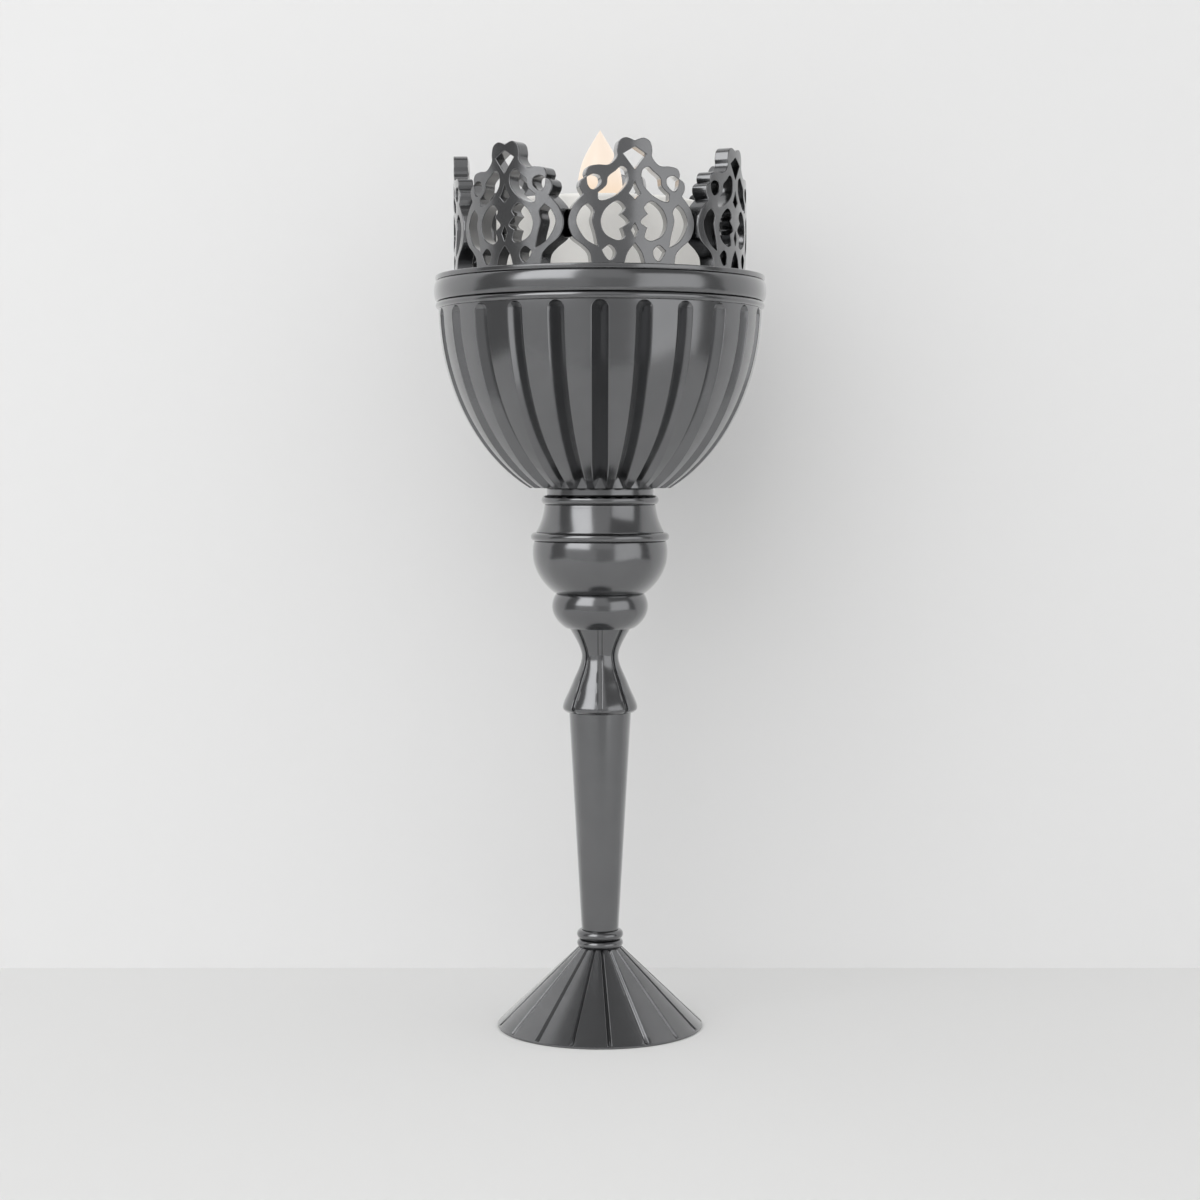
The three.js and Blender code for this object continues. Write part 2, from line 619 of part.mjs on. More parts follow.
// Bolt, washers and nut
const lowerWasherBottom = footCeiling - WASHER_HEIGHT;
const upperWasherBottom = bowlBottom + BOWL_FLOOR;
const nutBottom = upperWasherBottom + WASHER_HEIGHT;
const nutTop = nutBottom + NUT_HEIGHT;
const nutRadius = BOLT_RADIUS + NUT_WALL;
const washerRadius = BOLT_RADIUS + WASHER_RIM;
const head = solidOf(turned([
  [0, lowerWasherBottom - NUT_HEIGHT],
  [nutRadius, lowerWasherBottom - NUT_HEIGHT],
  [nutRadius, lowerWasherBottom],
  [0, lowerWasherBottom],
], NUT_SIDES));
const shaft = solidOf(turned([
  [0, lowerWasherBottom - NUT_HEIGHT / 2],
  [BOLT_RADIUS, lowerWasherBottom - NUT_HEIGHT / 2],
  [BOLT_RADIUS, nutTop + BOLT_END],
  [0, nutTop + BOLT_END],
], WIRE_SIDES));
addMesh(holder, 'tie_bolt', geometryOf(head.add(shaft)), bolted);
addMesh(holder, 'lower_washer', turnedRing([
  [washerRadius, lowerWasherBottom],
  [washerRadius, footCeiling],
], boltBore, SLIM_SIDES), bolted);
addMesh(holder, 'upper_washer', turnedRing([
  [washerRadius, upperWasherBottom],
  [washerRadius, nutBottom],
], boltBore, SLIM_SIDES), bolted);
const nutBlank = solidOf(turned([
  [0, nutBottom],
  [nutRadius, nutBottom],
  [nutRadius, nutTop],
  [0, nutTop],
], NUT_SIDES));
const nutHole = solidOf(turned([
  [0, nutBottom - CUT_MARGIN],
  [BOLT_RADIUS + NUT_CLEARANCE, nutBottom - CUT_MARGIN],
  [BOLT_RADIUS + NUT_CLEARANCE, nutTop + CUT_MARGIN],
  [0, nutTop + CUT_MARGIN],
], WIRE_SIDES));
addMesh(holder, 'tie_nut', geometryOf(nutBlank.subtract(nutHole)), bolted);

// Tea light, heights from its own underside
const teaLight = new THREE.Group();
teaLight.position.z = wellFloor;

const shellInside = TEA_LIGHT_RADIUS - SHELL_WALL;
const ledgeInside = shellInside - SHELL_LEDGE;
const baseTop = BASE_RECESS + BASE_HEIGHT;
const shellCeiling = TEA_LIGHT_HEIGHT - SHELL_TOP;
const ledHole = LED_RADIUS + LED_CLEARANCE;
addMesh(teaLight, 'candle_body', turned([
  [shellInside, 0],
  [TEA_LIGHT_RADIUS, 0],
  [TEA_LIGHT_RADIUS, TEA_LIGHT_HEIGHT - TEA_LIGHT_EDGE],
  [TEA_LIGHT_RADIUS - TEA_LIGHT_EDGE, TEA_LIGHT_HEIGHT],
  [ledHole, TEA_LIGHT_HEIGHT],
  [ledHole, shellCeiling],
  [ledgeInside, shellCeiling],
  [ledgeInside, baseTop],
  [shellInside, baseTop],
  [shellInside, 0],
], MIDDLE_SIDES), wax);

function makeFlame() {
  const baseRadius = ledHole + FLAME_ROOM + FLAME_WALL;
  const flameHeight = FLAME_BELOW + FLAME_MIDDLE + FLAME_TIP;
  const outline = (shrink, tip) => splineOutline([
    [baseRadius - shrink, 0],
    [FLAME_RADIUS - shrink, FLAME_BELOW],
    [FLAME_SHOULDER_RADIUS - shrink, FLAME_BELOW + FLAME_MIDDLE - shrink],
    [0, tip],
  ], FLAME_STEPS);
  const inner = outline(FLAME_WALL, flameHeight - FLAME_TIP_WALL).reverse();
  return turned([...inner, ...outline(0, flameHeight)], WIRE_SIDES);
}
addMesh(teaLight, 'flame', makeFlame(), peach).position.z = TEA_LIGHT_HEIGHT;

// Base plate with the battery holder
const plugRadius = BATTERY_RADIUS + BATTERY_CLEARANCE / 2;
const plugHole = plugRadius + DOOR_CLEARANCE;
const doorRadius = plugRadius + DOOR_FLANGE;
const doorSeat = BASE_RECESS + DOOR_FLANGE_HEIGHT;
const lugRadius = plugRadius + DOOR_LUG_REACH;
const batteryBottom = baseTop + DOOR_LUG_HEIGHT;
const batteryTop = batteryBottom + BATTERY_HEIGHT;
const holderTop = batteryTop + HOLDER_ABOVE_BATTERY;
const holderOutside = lugRadius + DOOR_CLEARANCE + HOLDER_WALL;
const lugCeiling = batteryBottom + DOOR_CLEARANCE;
const batteryPlace = ledgeInside - BATTERY_GAP - holderOutside;

// The switch sits beside the battery holder
const switchMargin = SWITCH_CLEARANCE + SWITCH_OVERLAP;
const switchWidth = SWITCH_KNOB_WIDTH + 2 * switchMargin;
const switchLength = SWITCH_KNOB + SWITCH_TRAVEL + 2 * switchMargin;
const switchPlace = batteryPlace - holderOutside - SWITCH_GAP - switchWidth / 2;

function makeBatteryBase() {
  const plate = solidOf(turned([
    [0, BASE_RECESS],
    [shellInside - BASE_CLEARANCE, BASE_RECESS],
    [shellInside - BASE_CLEARANCE, baseTop],
    [0, baseTop],
  ], MIDDLE_SIDES));
  const wall = solidOf(turned([
    [0, doorSeat],
    [holderOutside, doorSeat],
    [holderOutside, holderTop],
    [0, holderTop],
  ], MIDDLE_SIDES).translate(batteryPlace, 0, 0));
  const pocket = solidOf(turned([
    [0, BASE_RECESS - CUT_MARGIN],
    [doorRadius + DOOR_CLEARANCE, BASE_RECESS - CUT_MARGIN],
    [doorRadius + DOOR_CLEARANCE, doorSeat],
    [plugHole, doorSeat],
    [plugHole, baseTop],
    [lugRadius + DOOR_CLEARANCE, baseTop],
    [lugRadius + DOOR_CLEARANCE, lugCeiling],
    [BATTERY_RADIUS + BATTERY_CLEARANCE, lugCeiling],
    [BATTERY_RADIUS + BATTERY_CLEARANCE, holderTop + CUT_MARGIN],
    [0, holderTop + CUT_MARGIN],
  ], MIDDLE_SIDES).translate(batteryPlace, 0, 0));
  const notchLength = 2 * (lugRadius + DOOR_CLEARANCE);
  const notchHeight = lugCeiling - BASE_RECESS + CUT_MARGIN;
  const notch = box(notchLength, DOOR_LUG_WIDTH + 2 * DOOR_CLEARANCE, notchHeight, [0, 0, 0]);
  notch.rotateZ(degrees(DOOR_TURN)).translate(batteryPlace, 0, lugCeiling - notchHeight / 2);
  const slot = box(
    SWITCH_KNOB_WIDTH + 2 * SWITCH_CLEARANCE,
    SWITCH_KNOB + SWITCH_TRAVEL + 2 * SWITCH_CLEARANCE,
    BASE_HEIGHT + 2 * CUT_MARGIN,
    [switchPlace, 0, baseTop - BASE_HEIGHT / 2],
  );
  return geometryOf(plate.add(wall).subtract(pocket).subtract(solidOf(notch)).subtract(solidOf(slot)));
}
addMesh(teaLight, 'battery_base', makeBatteryBase(), plastic);

function makeBatteryDoor() {
  let door = solidOf(turned([
    [0, BASE_RECESS],
    [doorRadius, BASE_RECESS],
    [doorRadius, doorSeat],
    [plugRadius, doorSeat],
    [plugRadius, batteryBottom],
    [0, batteryBottom],
  ], MIDDLE_SIDES));
  for (let lug = 0; lug < DOOR_LUGS; lug += 1) {
    const reach = lugRadius - BATTERY_RADIUS / 2;
    const tab = box(reach, DOOR_LUG_WIDTH, DOOR_LUG_HEIGHT, [0, 0, 0]);
    tab.translate(lugRadius - reach / 2, 0, baseTop + DOOR_LUG_HEIGHT / 2);
    door = door.add(solidOf(tab.rotateZ((2 * Math.PI * lug) / DOOR_LUGS)));
  }
  const slotHeight = 2 * COIN_SLOT_DEPTH;
  const slot = box(COIN_SLOT_WIDTH, COIN_SLOT_LENGTH, slotHeight, [0, 0, BASE_RECESS]);
  return geometryOf(door.subtract(solidOf(slot)));
}
addMesh(teaLight, 'battery_door', makeBatteryDoor(), plastic).position.x = batteryPlace;

addMesh(teaLight, 'battery', turned([
  [0, batteryBottom],
  [BATTERY_RADIUS - BATTERY_EDGE, batteryBottom],
  [BATTERY_RADIUS, batteryBottom + BATTERY_EDGE],
  [BATTERY_RADIUS, batteryTop],
  [0, batteryTop],
], MIDDLE_SIDES), cell).position.x = batteryPlace;

// Lamp with its two leads, one on the battery and one on the switch contact
const contactTop = batteryTop + CONTACT_HEIGHT;
const switchContactTop = holderTop + CONTACT_HEIGHT;
const lampBottom = shellCeiling - LED_FLANGE_HEIGHT;

function makeLed() {
  const lampTop = TEA_LIGHT_HEIGHT + LED_ABOVE_TOP;
  const lamp = solidOf(turned([
    [0, lampBottom],
    [LED_RADIUS + LED_FLANGE, lampBottom],
    [LED_RADIUS + LED_FLANGE, shellCeiling],
    [LED_RADIUS, shellCeiling],
    ...bulge([LED_RADIUS, lampTop - LED_RADIUS], [0, lampTop], ROUND_STEPS),
  ], WIRE_SIDES));
  const lead = (side, bottom) => {
    const top = lampBottom + LED_FLANGE_HEIGHT / 2;
    const centre = [(side * LEAD_APART) / 2, 0, (top + bottom) / 2];
    return solidOf(box(LEAD_WIDTH, LEAD_WIDTH, top - bottom, centre));
  };
  return geometryOf(lamp.add(lead(1, contactTop)).add(lead(-1, switchContactTop)));
}
addMesh(teaLight, 'led', makeLed(), lens);

const leadReach = LEAD_APART / 2 - LEAD_WIDTH;
const topContactLength = batteryPlace + BATTERY_RADIUS / 2 - leadReach;
addMesh(teaLight, 'contact_top', box(
  topContactLength, CONTACT_WIDTH, CONTACT_HEIGHT,
  [leadReach + topContactLength / 2, 0, (batteryTop + contactTop) / 2],
), strip);

// Switch slider at the end of its travel, and the strip that it presses
const sliderBottom = BASE_RECESS + SWITCH_KNOB_RECESS;
const sliderTop = baseTop + SWITCH_HEIGHT;
const sliderRest = -SWITCH_TRAVEL / 2;

function makeSlider() {
  const plate = box(switchWidth, switchLength, SWITCH_HEIGHT, [0, 0, baseTop + SWITCH_HEIGHT / 2]);
  const knobHeight = sliderTop - sliderBottom;
  const knob = box(SWITCH_KNOB_WIDTH, SWITCH_KNOB, knobHeight, [0, 0, sliderBottom + knobHeight / 2]);
  return geometryOf(solidOf(plate).add(solidOf(knob)));
}
addMesh(teaLight, 'switch_slider', makeSlider(), plastic).position.set(switchPlace, sliderRest, 0);

function makeSwitchContact() {
  const armLength = -switchPlace - leadReach;
  const armCentre = [switchPlace + armLength / 2, 0, holderTop + CONTACT_HEIGHT / 2];
  const arm = box(armLength, CONTACT_WIDTH, CONTACT_HEIGHT, armCentre);
  const tongueBottom = sliderTop + SWITCH_CLEARANCE;
  const tongueHeight = switchContactTop - tongueBottom;
  const tongueCentre = [switchPlace + CONTACT_HEIGHT / 2, 0, tongueBottom + tongueHeight / 2];
  const tongue = box(CONTACT_HEIGHT, CONTACT_WIDTH, tongueHeight, tongueCentre);
  return geometryOf(solidOf(arm).add(solidOf(tongue)));
}
addMesh(teaLight, 'contact_switch', makeSwitchContact(), strip);

const teaLightHolder = new THREE.Group();
teaLightHolder.name = 'tea_light_holder';
teaLightHolder.add(holder, teaLight);

export default teaLightHolder;
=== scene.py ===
import json
import math

import bmesh
import bpy
from mathutils import Matrix, Vector
from mathutils.geometry import delaunay_2d_cdt
from mathutils.kdtree import KDTree


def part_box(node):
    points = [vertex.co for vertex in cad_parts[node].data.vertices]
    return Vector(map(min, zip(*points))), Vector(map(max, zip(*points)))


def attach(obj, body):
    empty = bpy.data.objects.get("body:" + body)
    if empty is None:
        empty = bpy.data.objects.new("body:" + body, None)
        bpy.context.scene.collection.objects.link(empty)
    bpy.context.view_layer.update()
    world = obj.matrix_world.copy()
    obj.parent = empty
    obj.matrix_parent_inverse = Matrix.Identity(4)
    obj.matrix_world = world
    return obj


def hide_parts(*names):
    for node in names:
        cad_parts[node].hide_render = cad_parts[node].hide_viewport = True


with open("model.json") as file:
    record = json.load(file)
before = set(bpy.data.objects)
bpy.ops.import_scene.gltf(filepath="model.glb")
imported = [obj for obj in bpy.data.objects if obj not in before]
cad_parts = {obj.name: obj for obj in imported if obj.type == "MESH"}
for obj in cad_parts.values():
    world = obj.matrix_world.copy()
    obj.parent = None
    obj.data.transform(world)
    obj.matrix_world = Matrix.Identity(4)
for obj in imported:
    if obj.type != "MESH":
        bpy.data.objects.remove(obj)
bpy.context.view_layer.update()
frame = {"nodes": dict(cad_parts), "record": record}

MM = 0.001

# Fineness of the meshes
SIDES = 160
SLIM_SIDES = 96
ARC_STEPS = 8
FILLET_STEPS = 4
CURVE_STEPS = 12
BAND_STEPS = 24
FILLET_ROOM = 1.5
MERGE_DISTANCE = 0.0005 * MM
LEAST_EDGE = 0.0002 * MM
NORMAL_WEIGHT = 80

# Angles in degrees past which an edge stays sharp
SHARP = 32
GROOVED_SHARP = 24
CROWN_SHARP = 40

# Turned stack, where the frame's boxes don't say it
BOLT_BORE = 1.8 * MM
EDGE = 0.22 * MM
FINE_EDGE = 0.12 * MM
STEM_BOTTOM_RADIUS = 3.34 * MM
LOWER_KNOP_RADIUS = 8.64 * MM
LOWER_KNOP_UNDERCUT = 2.45 * MM
LOWER_KNOP_BELOW = 3.95 * MM
UPPER_KNOP_RADIUS = 12.13 * MM
UPPER_KNOP_UNDERCUT = 4 * MM
UPPER_KNOP_BELOW = 7.35 * MM
COVER_TOP_RADIUS = 9.98 * MM
COVER_HOLLOW = 0.3 * MM

# Foot
FOOT_RADIUS = 18.6 * MM
FOOT_TOP_RADIUS = 3.9 * MM
FOOT_LIP_HEIGHT = 0.45 * MM
FOOT_LIP_CHAMFER = 0.1 * MM
FOOT_LIP_ROUNDING = 0.03
FOOT_WALL = 1.6 * MM
FOOT_CROWN = 4.8 * MM
FOOT_GROOVES = 17
FOOT_GROOVE_ANGLE = math.radians(5.4)
FOOT_GROOVE_WIDTH = 0.9 * MM
FOOT_GROOVE_DEPTH = 0.45 * MM
FOOT_GROOVE_TOP_WIDTH = 0.6 * MM
FOOT_GROOVE_TOP_DEPTH = 0.3 * MM
FOOT_GROOVE_RUNOUT = 0.15 * MM
FOOT_RUNOUT_ROWS = 4
FOOT_ROWS = 14
FOOT_LAND_STEPS = 10

# Neck
NECK_BASE_RADIUS = 6.7 * MM
NECK_WAIST_RADIUS = 3.32 * MM
NECK_BELOW_WAIST = 10.2 * MM
NECK_TOP_RADIUS = 5.5 * MM
NECK_UNDERCUT = 0.45 * MM
NECK_SHOULDER = 1.1 * MM
NECK_GROOVES = 8
NECK_GROOVE_WIDTH = 0.8 * MM
NECK_GROOVE_DEPTH = 0.45 * MM
NECK_LAND_STEPS = 10

# Halves of the grooves' sections from the middle out, as shares of half their width and of their depth
CHANNEL_HALF = [
    (0, 1), (0.4, 1), (0.75, 1), (0.88, 0.93), (0.95, 0.72), (0.99, 0.25), (1.07, 0.06), (1.22, 0),
]
VEE_HALF = [(0, 0.975), (0.05, 0.95), (0.35, 0.65), (0.65, 0.35), (0.95, 0.06), (1, 0.02), (1.06, 0)]

# Bowl
BOWL_STEP = 0.55 * MM
BOWL_BOTTOM_RADIUS = 12.75 * MM
BOWL_EQUATOR_ABOVE = 0.5 * MM
BOWL_WALL = 2.8 * MM
BOWL_FLOOR = 2.4 * MM
BOWL_DISC_RADIUS = 12.2 * MM
BOWL_DISC_HEIGHT = 1.8 * MM
BOWL_ROWS = 44
FLUTES = 24
FLUTE_RADIUS = 1.45 * MM
FLUTE_DEPTH = 1.95 * MM
FLUTE_BOTTOM_LAND = 1.07 * MM
FLUTE_WIDENING = 0.2
FLUTE_TOP_GAP = 0.1 * MM
FLUTE_END_ROWS = 10
FLUTE_LAND_STEPS = 6
FLUTE_LEAST_SHARE = 0.02
FLUTE_GAP_SHARE = 0.5

# Cup and crown
CUP_WALL = 0.9 * MM
CUP_DEPTH = 7.2 * MM
WELL_RADIUS = 19.1 * MM
RIM_BORE = 26.05 * MM
BAND_BORE = 20.3 * MM
SEAM_DEPTH = 0.35 * MM
SEAM_EDGE = 0.3 * MM
CROWN_PANELS = 7
CROWN_ANGLE = math.radians(12.95)
CROWN_LEDGE = 3.3 * MM
CROWN_WALL = 2.5 * MM
CROWN_HEIGHT = 21.15 * MM
CROWN_GAP = 0.73 * MM
CROWN_MITRE_GAP = 0.04 * MM
CROWN_BEVEL = 0.12 * MM
CROWN_BEVEL_STEPS = 3
CROWN_BEVEL_SHARE = 0.3
CROWN_LEAST_TURN = 0.6
CROWN_STEP = 0.26 * MM
CROWN_MESH = 0.7 * MM
CROWN_FLAT_FACE = math.cos(math.radians(9))
CROWN_CUT_DISTANCE = 1e-7
CROWN_POINT_DISTANCE = 1e-9

# Tea light
CANDLE_WALL = 1 * MM
CANDLE_TOP = 1.4 * MM
CANDLE_EDGE = 0.7 * MM
CANDLE_POOL_DEPTH = 0.55 * MM
CANDLE_POOL_INSIDE = 5.2 * MM
CANDLE_POOL_OUTSIDE = 17 * MM
LED_HOLE = 1.7 * MM
FLAME_BASE_RADIUS = 3 * MM
FLAME_RADIUS = 4 * MM
FLAME_SHOULDER_RADIUS = 3 * MM
FLAME_BELOW = 2.95 * MM
FLAME_MIDDLE = 4.95 * MM
FLAME_WALL = 0.9 * MM
FLAME_TIP_WALL = 2.25 * MM

# Finishes: scales of their noises, the middle of a noise, and what glows: the flame, and the candle body with
# a painted glow
CLOUD_SCALE = 160
GLOSS_SCALE = 420
SPECKLE_SCALE = 5200
SPECKLE_DETAIL = 2
MILK_SCALE = 500
PAINT_SCALE = 3
NOISE_DETAIL = 3
NOISE_LOW = 0.3
NOISE_HIGH = 0.7
GRAIN_DEPTH = 0.02 * MM
LACQUER_ROUGHNESS = 0.18
# Strength of the candle body's painted glow, which is no lamp
WAX_PAINTED_GLOW = 0.65
FLAME_GLOW = 0.95
FLAME_WARM = (0.9, 0.68, 0.48)
FLAME_PALE = (0.95, 0.81, 0.68)
FLAME_PALE_FROM = 0.45
FLAME_BODY_DARK = (0.045, 0.04, 0.035)
FLAME_BODY_LIGHT = (0.055, 0.05, 0.045)
FLAME_ROUGHNESS = (0.4, 0.5)

# Camera, from the ellipses in the photograph
CAMERA_PLACE = Vector((-0.00001, -0.41695, 0.10106))
CAMERA_PITCH = math.radians(3.247)
CAMERA_LENS = 69.49
CAMERA_SENSOR = 36
CAMERA_CLIP = 0.01

# Stage: its sizes in metres and its paints
WALL_BEHIND = 47.6 * MM
STAGE_SIZE = 6
FLOOR_FRONT = 0.24
FLOOR_SIDE = 0.42
FLOOR_COLOUR = (0.765, 0.765, 0.76)
WALL_COLOUR = (0.8, 0.8, 0.8)
PAINT_SPREAD = 1.01
PAINT_ROUGHNESS = 0.9
PAINT_SHEEN = 0.1
ROOM_FINENESS = 4
ROOM_LEVEL = 0.29

# Light: the key lights what is matt, and upright faces show in what is glossy
AIM = Vector((0, 0, 0.09))
LAMP_DISTANCE = 1
KEY_AZIMUTH = math.radians(-29.5)
KEY_ELEVATION = math.radians(32)
KEY_WIDTH = 1
KEY_HEIGHT = 1.27
KEY_LEVEL = 1
WORLD_COLOUR = (0.87, 0.87, 0.87, 1)

# Left and right azimuth in degrees, lower and upper edge in metres, and level of each upright face
GLOSS_FACES = {
    "key_face": (-61, -18, 0.27, 1.97, 2.5),
    "fill_face": (25, 74, -0.49, 0.67, 1.05),
    "apron_face": (-61, -6, -0.44, 0.26, 0.45),
    "low_gap_face": (-6, 25, -0.44, 0.26, 0.22),
    "high_gap_face": (-18, 22, 0.27, 1.97, 0.4),
}


def clear_scene():
    """Takes away what Blender's own start file puts there."""
    for name in ("Cube", "Light", "Camera"):
        if name in bpy.data.objects:
            bpy.data.objects.remove(bpy.data.objects[name])


# Outlines

def arc(centre, across, up, start, end, steps):
    """Points of an elliptical arc round a (radius, height) centre."""
    points = []
    for step in range(steps + 1):
        angle = start + (end - start) * step / steps
        points.append((centre[0] + across * math.cos(angle), centre[1] + up * math.sin(angle)))
    return points


def smooth_curve(points):
    """Catmull-Rom curve through the points, with equal steps on each stretch."""
    points = [Vector(point) for point in points]
    padded = [points[0], *points, points[-1]]
    curve = []
    for index in range(len(points) - 1):
        before, start, end, after = padded[index:index + 4]
        for step in range(CURVE_STEPS):
            t = step / CURVE_STEPS
            leave = (end - before) / 2
            arrive = (after - start) / 2
            shape = start + leave * t
            shape += (3 * (end - start) - 2 * leave - arrive) * t ** 2
            shape += (2 * (start - end) + leave + arrive) * t ** 3
            curve.append(shape)
    curve.append(points[-1])
    return curve


def rounded(corners):
    """Closed outline whose corners (radius, height, fillet) are rounded; a corner without a fillet stays."""
    outline = []
    count = len(corners)
    for index, corner in enumerate(corners):
        point = Vector(corner[:2])
        fillet = corner[2] if len(corner) > 2 else 0
        if not fillet:
            outline.append(point)
            continue
        back = (Vector(corners[index - 1][:2]) - point).normalized()
        ahead = (Vector(corners[(index + 1) % count][:2]) - point).normalized()
        half = back.angle(ahead) / 2
        centre = point + (back + ahead).normalized() * fillet / math.sin(half)
        start = point + back * fillet / math.tan(half) - centre
        end = point + ahead * fillet / math.tan(half) - centre
        sweep = start.angle(end)
        for step in range(FILLET_STEPS + 1):
            t = step / FILLET_STEPS
            from_start = math.sin((1 - t) * sweep) / math.sin(sweep)
            from_end = math.sin(t * sweep) / math.sin(sweep)
            outline.append(centre + start * from_start + end * from_end)
    return outline


def trimmed(curve, room):
    """The curve without the points closer to its ends than the room that a fillet needs."""
    first, last = Vector(curve[0]), Vector(curve[-1])
    return [
        tuple(point) for point in curve
        if (Vector(point) - first).length > room and (Vector(point) - last).length > room
    ]


def ring_outline(curve, bore, edge):
    """Closed outline of a ring: a bore, flat ends, and an outside curve with rounded ends."""
    first, last = curve[0], curve[-1]
    return rounded([
        (bore, first[1]),
        (first[0], first[1], edge),
        *trimmed(curve, FILLET_ROOM * edge),
        (last[0], last[1], edge),
        (bore, last[1]),
    ])


# Meshes

def finish_mesh(name, verts, faces, sharp):
    """Object of a clean mesh, smooth except along edges sharper than the angle."""
    mesh = bpy.data.meshes.new(name)
    mesh.from_pydata([tuple(vert) for vert in verts], [], faces)
    shape = bmesh.new()
    shape.from_mesh(mesh)
    clean_shape(shape)
    return object_of(name, shape, mesh, sharp)


def clean_shape(shape):
    """Joins points that coincide, drops faces of no size and turns the normals out."""
    bmesh.ops.remove_doubles(shape, verts=shape.verts, dist=MERGE_DISTANCE)
    bmesh.ops.dissolve_degenerate(shape, edges=shape.edges, dist=LEAST_EDGE)
    bmesh.ops.recalc_face_normals(shape, faces=shape.faces)


def object_of(name, shape, mesh, sharp):
    """Object in the scene of a finished shape, shaded smooth between its sharp edges."""
    shape.to_mesh(mesh)
    shape.free()
    mesh.shade_smooth()
    mesh.set_sharp_from_angle(angle=math.radians(sharp))
    piece = bpy.data.objects.new(name, mesh)
    bpy.context.scene.collection.objects.link(piece)
    flat_faces = piece.modifiers.new("flat_faces", "WEIGHTED_NORMAL")
    flat_faces.keep_sharp = True
    flat_faces.weight = NORMAL_WEIGHT
    return piece


def grid(name, rows, sharp=SHARP):
    """Closed skin through rows of (radius, angle, height), the last row joined to the first."""
    count = len(rows[0])
    verts = []
    for row in rows:
        for radius, angle, height in row:
            verts.append((radius * math.sin(angle), -radius * math.cos(angle), height))
    faces = []
    for level in range(len(rows)):
        low = level * count
        high = (level + 1) % len(rows) * count
        for side in range(count):
            following = (side + 1) % count
            faces.append((low + side, low + following, high + following, high + side))
    return finish_mesh(name, verts, faces, sharp)


def circle_row(radius, height, angles):
    return [(radius, angle, height) for angle in angles]


def turned(name, outline, sides=SIDES):
    """Piece turned about the axis from a closed outline of (radius, height)."""
    angles = [2 * math.pi * side / sides for side in range(sides)]
    return grid(name, [circle_row(radius, height, angles) for radius, height in outline])


def span(node):
    """Bottom, top and widest radius of a turned node."""
    low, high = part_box(node)
    return low.z, high.z, high.x


def put(piece, node, material, body):
    """Lets a piece stand for a node and ride on its body."""
    piece.data.materials.append(material)
    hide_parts(node)
    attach(piece, body)


# Turned pieces

def bead(node, sides=SIDES, bore=BOLT_BORE):
    """Ring with a half-round outside."""
    bottom, top, radius = span(node)
    half = (top - bottom) / 2
    outside = arc((radius - half, bottom + half), half, half, -math.pi / 2, math.pi / 2, 2 * ARC_STEPS)
    return turned("fine_" + node, [(bore, bottom), *outside, (bore, top)], sides)


def stem():
    bottom, top, radius = span("stem")
    outline = rounded([
        (BOLT_BORE, bottom),
        (STEM_BOTTOM_RADIUS, bottom, FINE_EDGE),
        (radius, top, EDGE),
        (BOLT_BORE, top),
    ])
    return turned("fine_stem", outline, SLIM_SIDES)


def knop(node, radius, undercut, below):
    """Zone of an ellipsoid, narrower at its bottom by the undercut."""
    bottom, top, _ = span(node)
    widest = bottom + below
    half_height = below / math.sqrt(1 - (1 - undercut / radius) ** 2)
    start = math.asin((bottom - widest) / half_height)
    end = math.asin((top - widest) / half_height)
    outside = arc((0, widest), radius, half_height, start, end, 4 * ARC_STEPS)
    return turned("fine_" + node, ring_outline(outside, BOLT_BORE, EDGE))


def knop_cover():
    bottom, top, radius = span("knop_cover")
    outside = []
    for step in range(CURVE_STEPS + 1):
        t = step / CURVE_STEPS
        hollow = 4 * COVER_HOLLOW * t * (1 - t)
        outside.append((radius + (COVER_TOP_RADIUS - radius) * t - hollow, bottom + (top - bottom) * t))
    return turned("fine_knop_cover", ring_outline(outside, BOLT_BORE, FINE_EDGE))


def bowl_collar():
    bottom, top, radius = span("bowl_collar")
    outline = rounded([
        (BOLT_BORE, bottom),
        (radius, bottom, FINE_EDGE),
        (radius, top, FINE_EDGE),
        (BOLT_BORE, top),
    ])
    return turned("fine_bowl_collar", outline)


def rim_band():
    """Rounded band whose edges draw in under the flange and over the bead."""
    bottom, top, radius = span("rim_band")
    inside = span("candle_cup")[2] - SEAM_DEPTH
    middle = (bottom + top) / 2
    half = (top - bottom) / 2
    outside = arc((inside, middle), radius - inside, half, -math.pi / 2, math.pi / 2, BAND_STEPS)
    return turned("fine_rim_band", [(BAND_BORE, bottom), *outside, (BAND_BORE, top)])


def candle_cup():
    bottom, top, radius = span("candle_cup")
    well_wall = WELL_RADIUS + CUP_WALL
    outline = rounded([
        (0, bottom),
        (well_wall, bottom, EDGE),
        (well_wall, top - CUP_WALL),
        (radius, top - CUP_WALL, SEAM_EDGE),
        (radius, top, EDGE),
        (WELL_RADIUS, top, EDGE),
        (WELL_RADIUS, top - CUP_DEPTH, EDGE),
        (0, top - CUP_DEPTH),
    ])
    return turned("fine_candle_cup", outline)


# Grooved and fluted pieces

def groove_section(half, width, depth):
    """A groove's section of (offset, depth) pairs from edge to edge."""
    right = [(width / 2 * across, depth * down) for across, down in half]
    return [(-offset, down) for offset, down in reversed(right[1:])] + right


def cut_row(radius, height, count, start, section, land_steps, inward=1, lift=0):
    """One level of a piece with a section cut into it count times; a cut goes inward and up by shares."""
    row = []
    pitch = 2 * math.pi / count
    for copy in range(count):
        centre = start + copy * pitch
        for offset, depth in section:
            angle = centre + math.asin(offset / radius)
            row.append((radius - depth * inward, angle, height + depth * lift))
        edge = math.asin(section[-1][0] / radius)
        land = pitch - 2 * edge
        for step in range(1, land_steps):
            row.append((radius, centre + edge + land * step / land_steps, height))
    return row


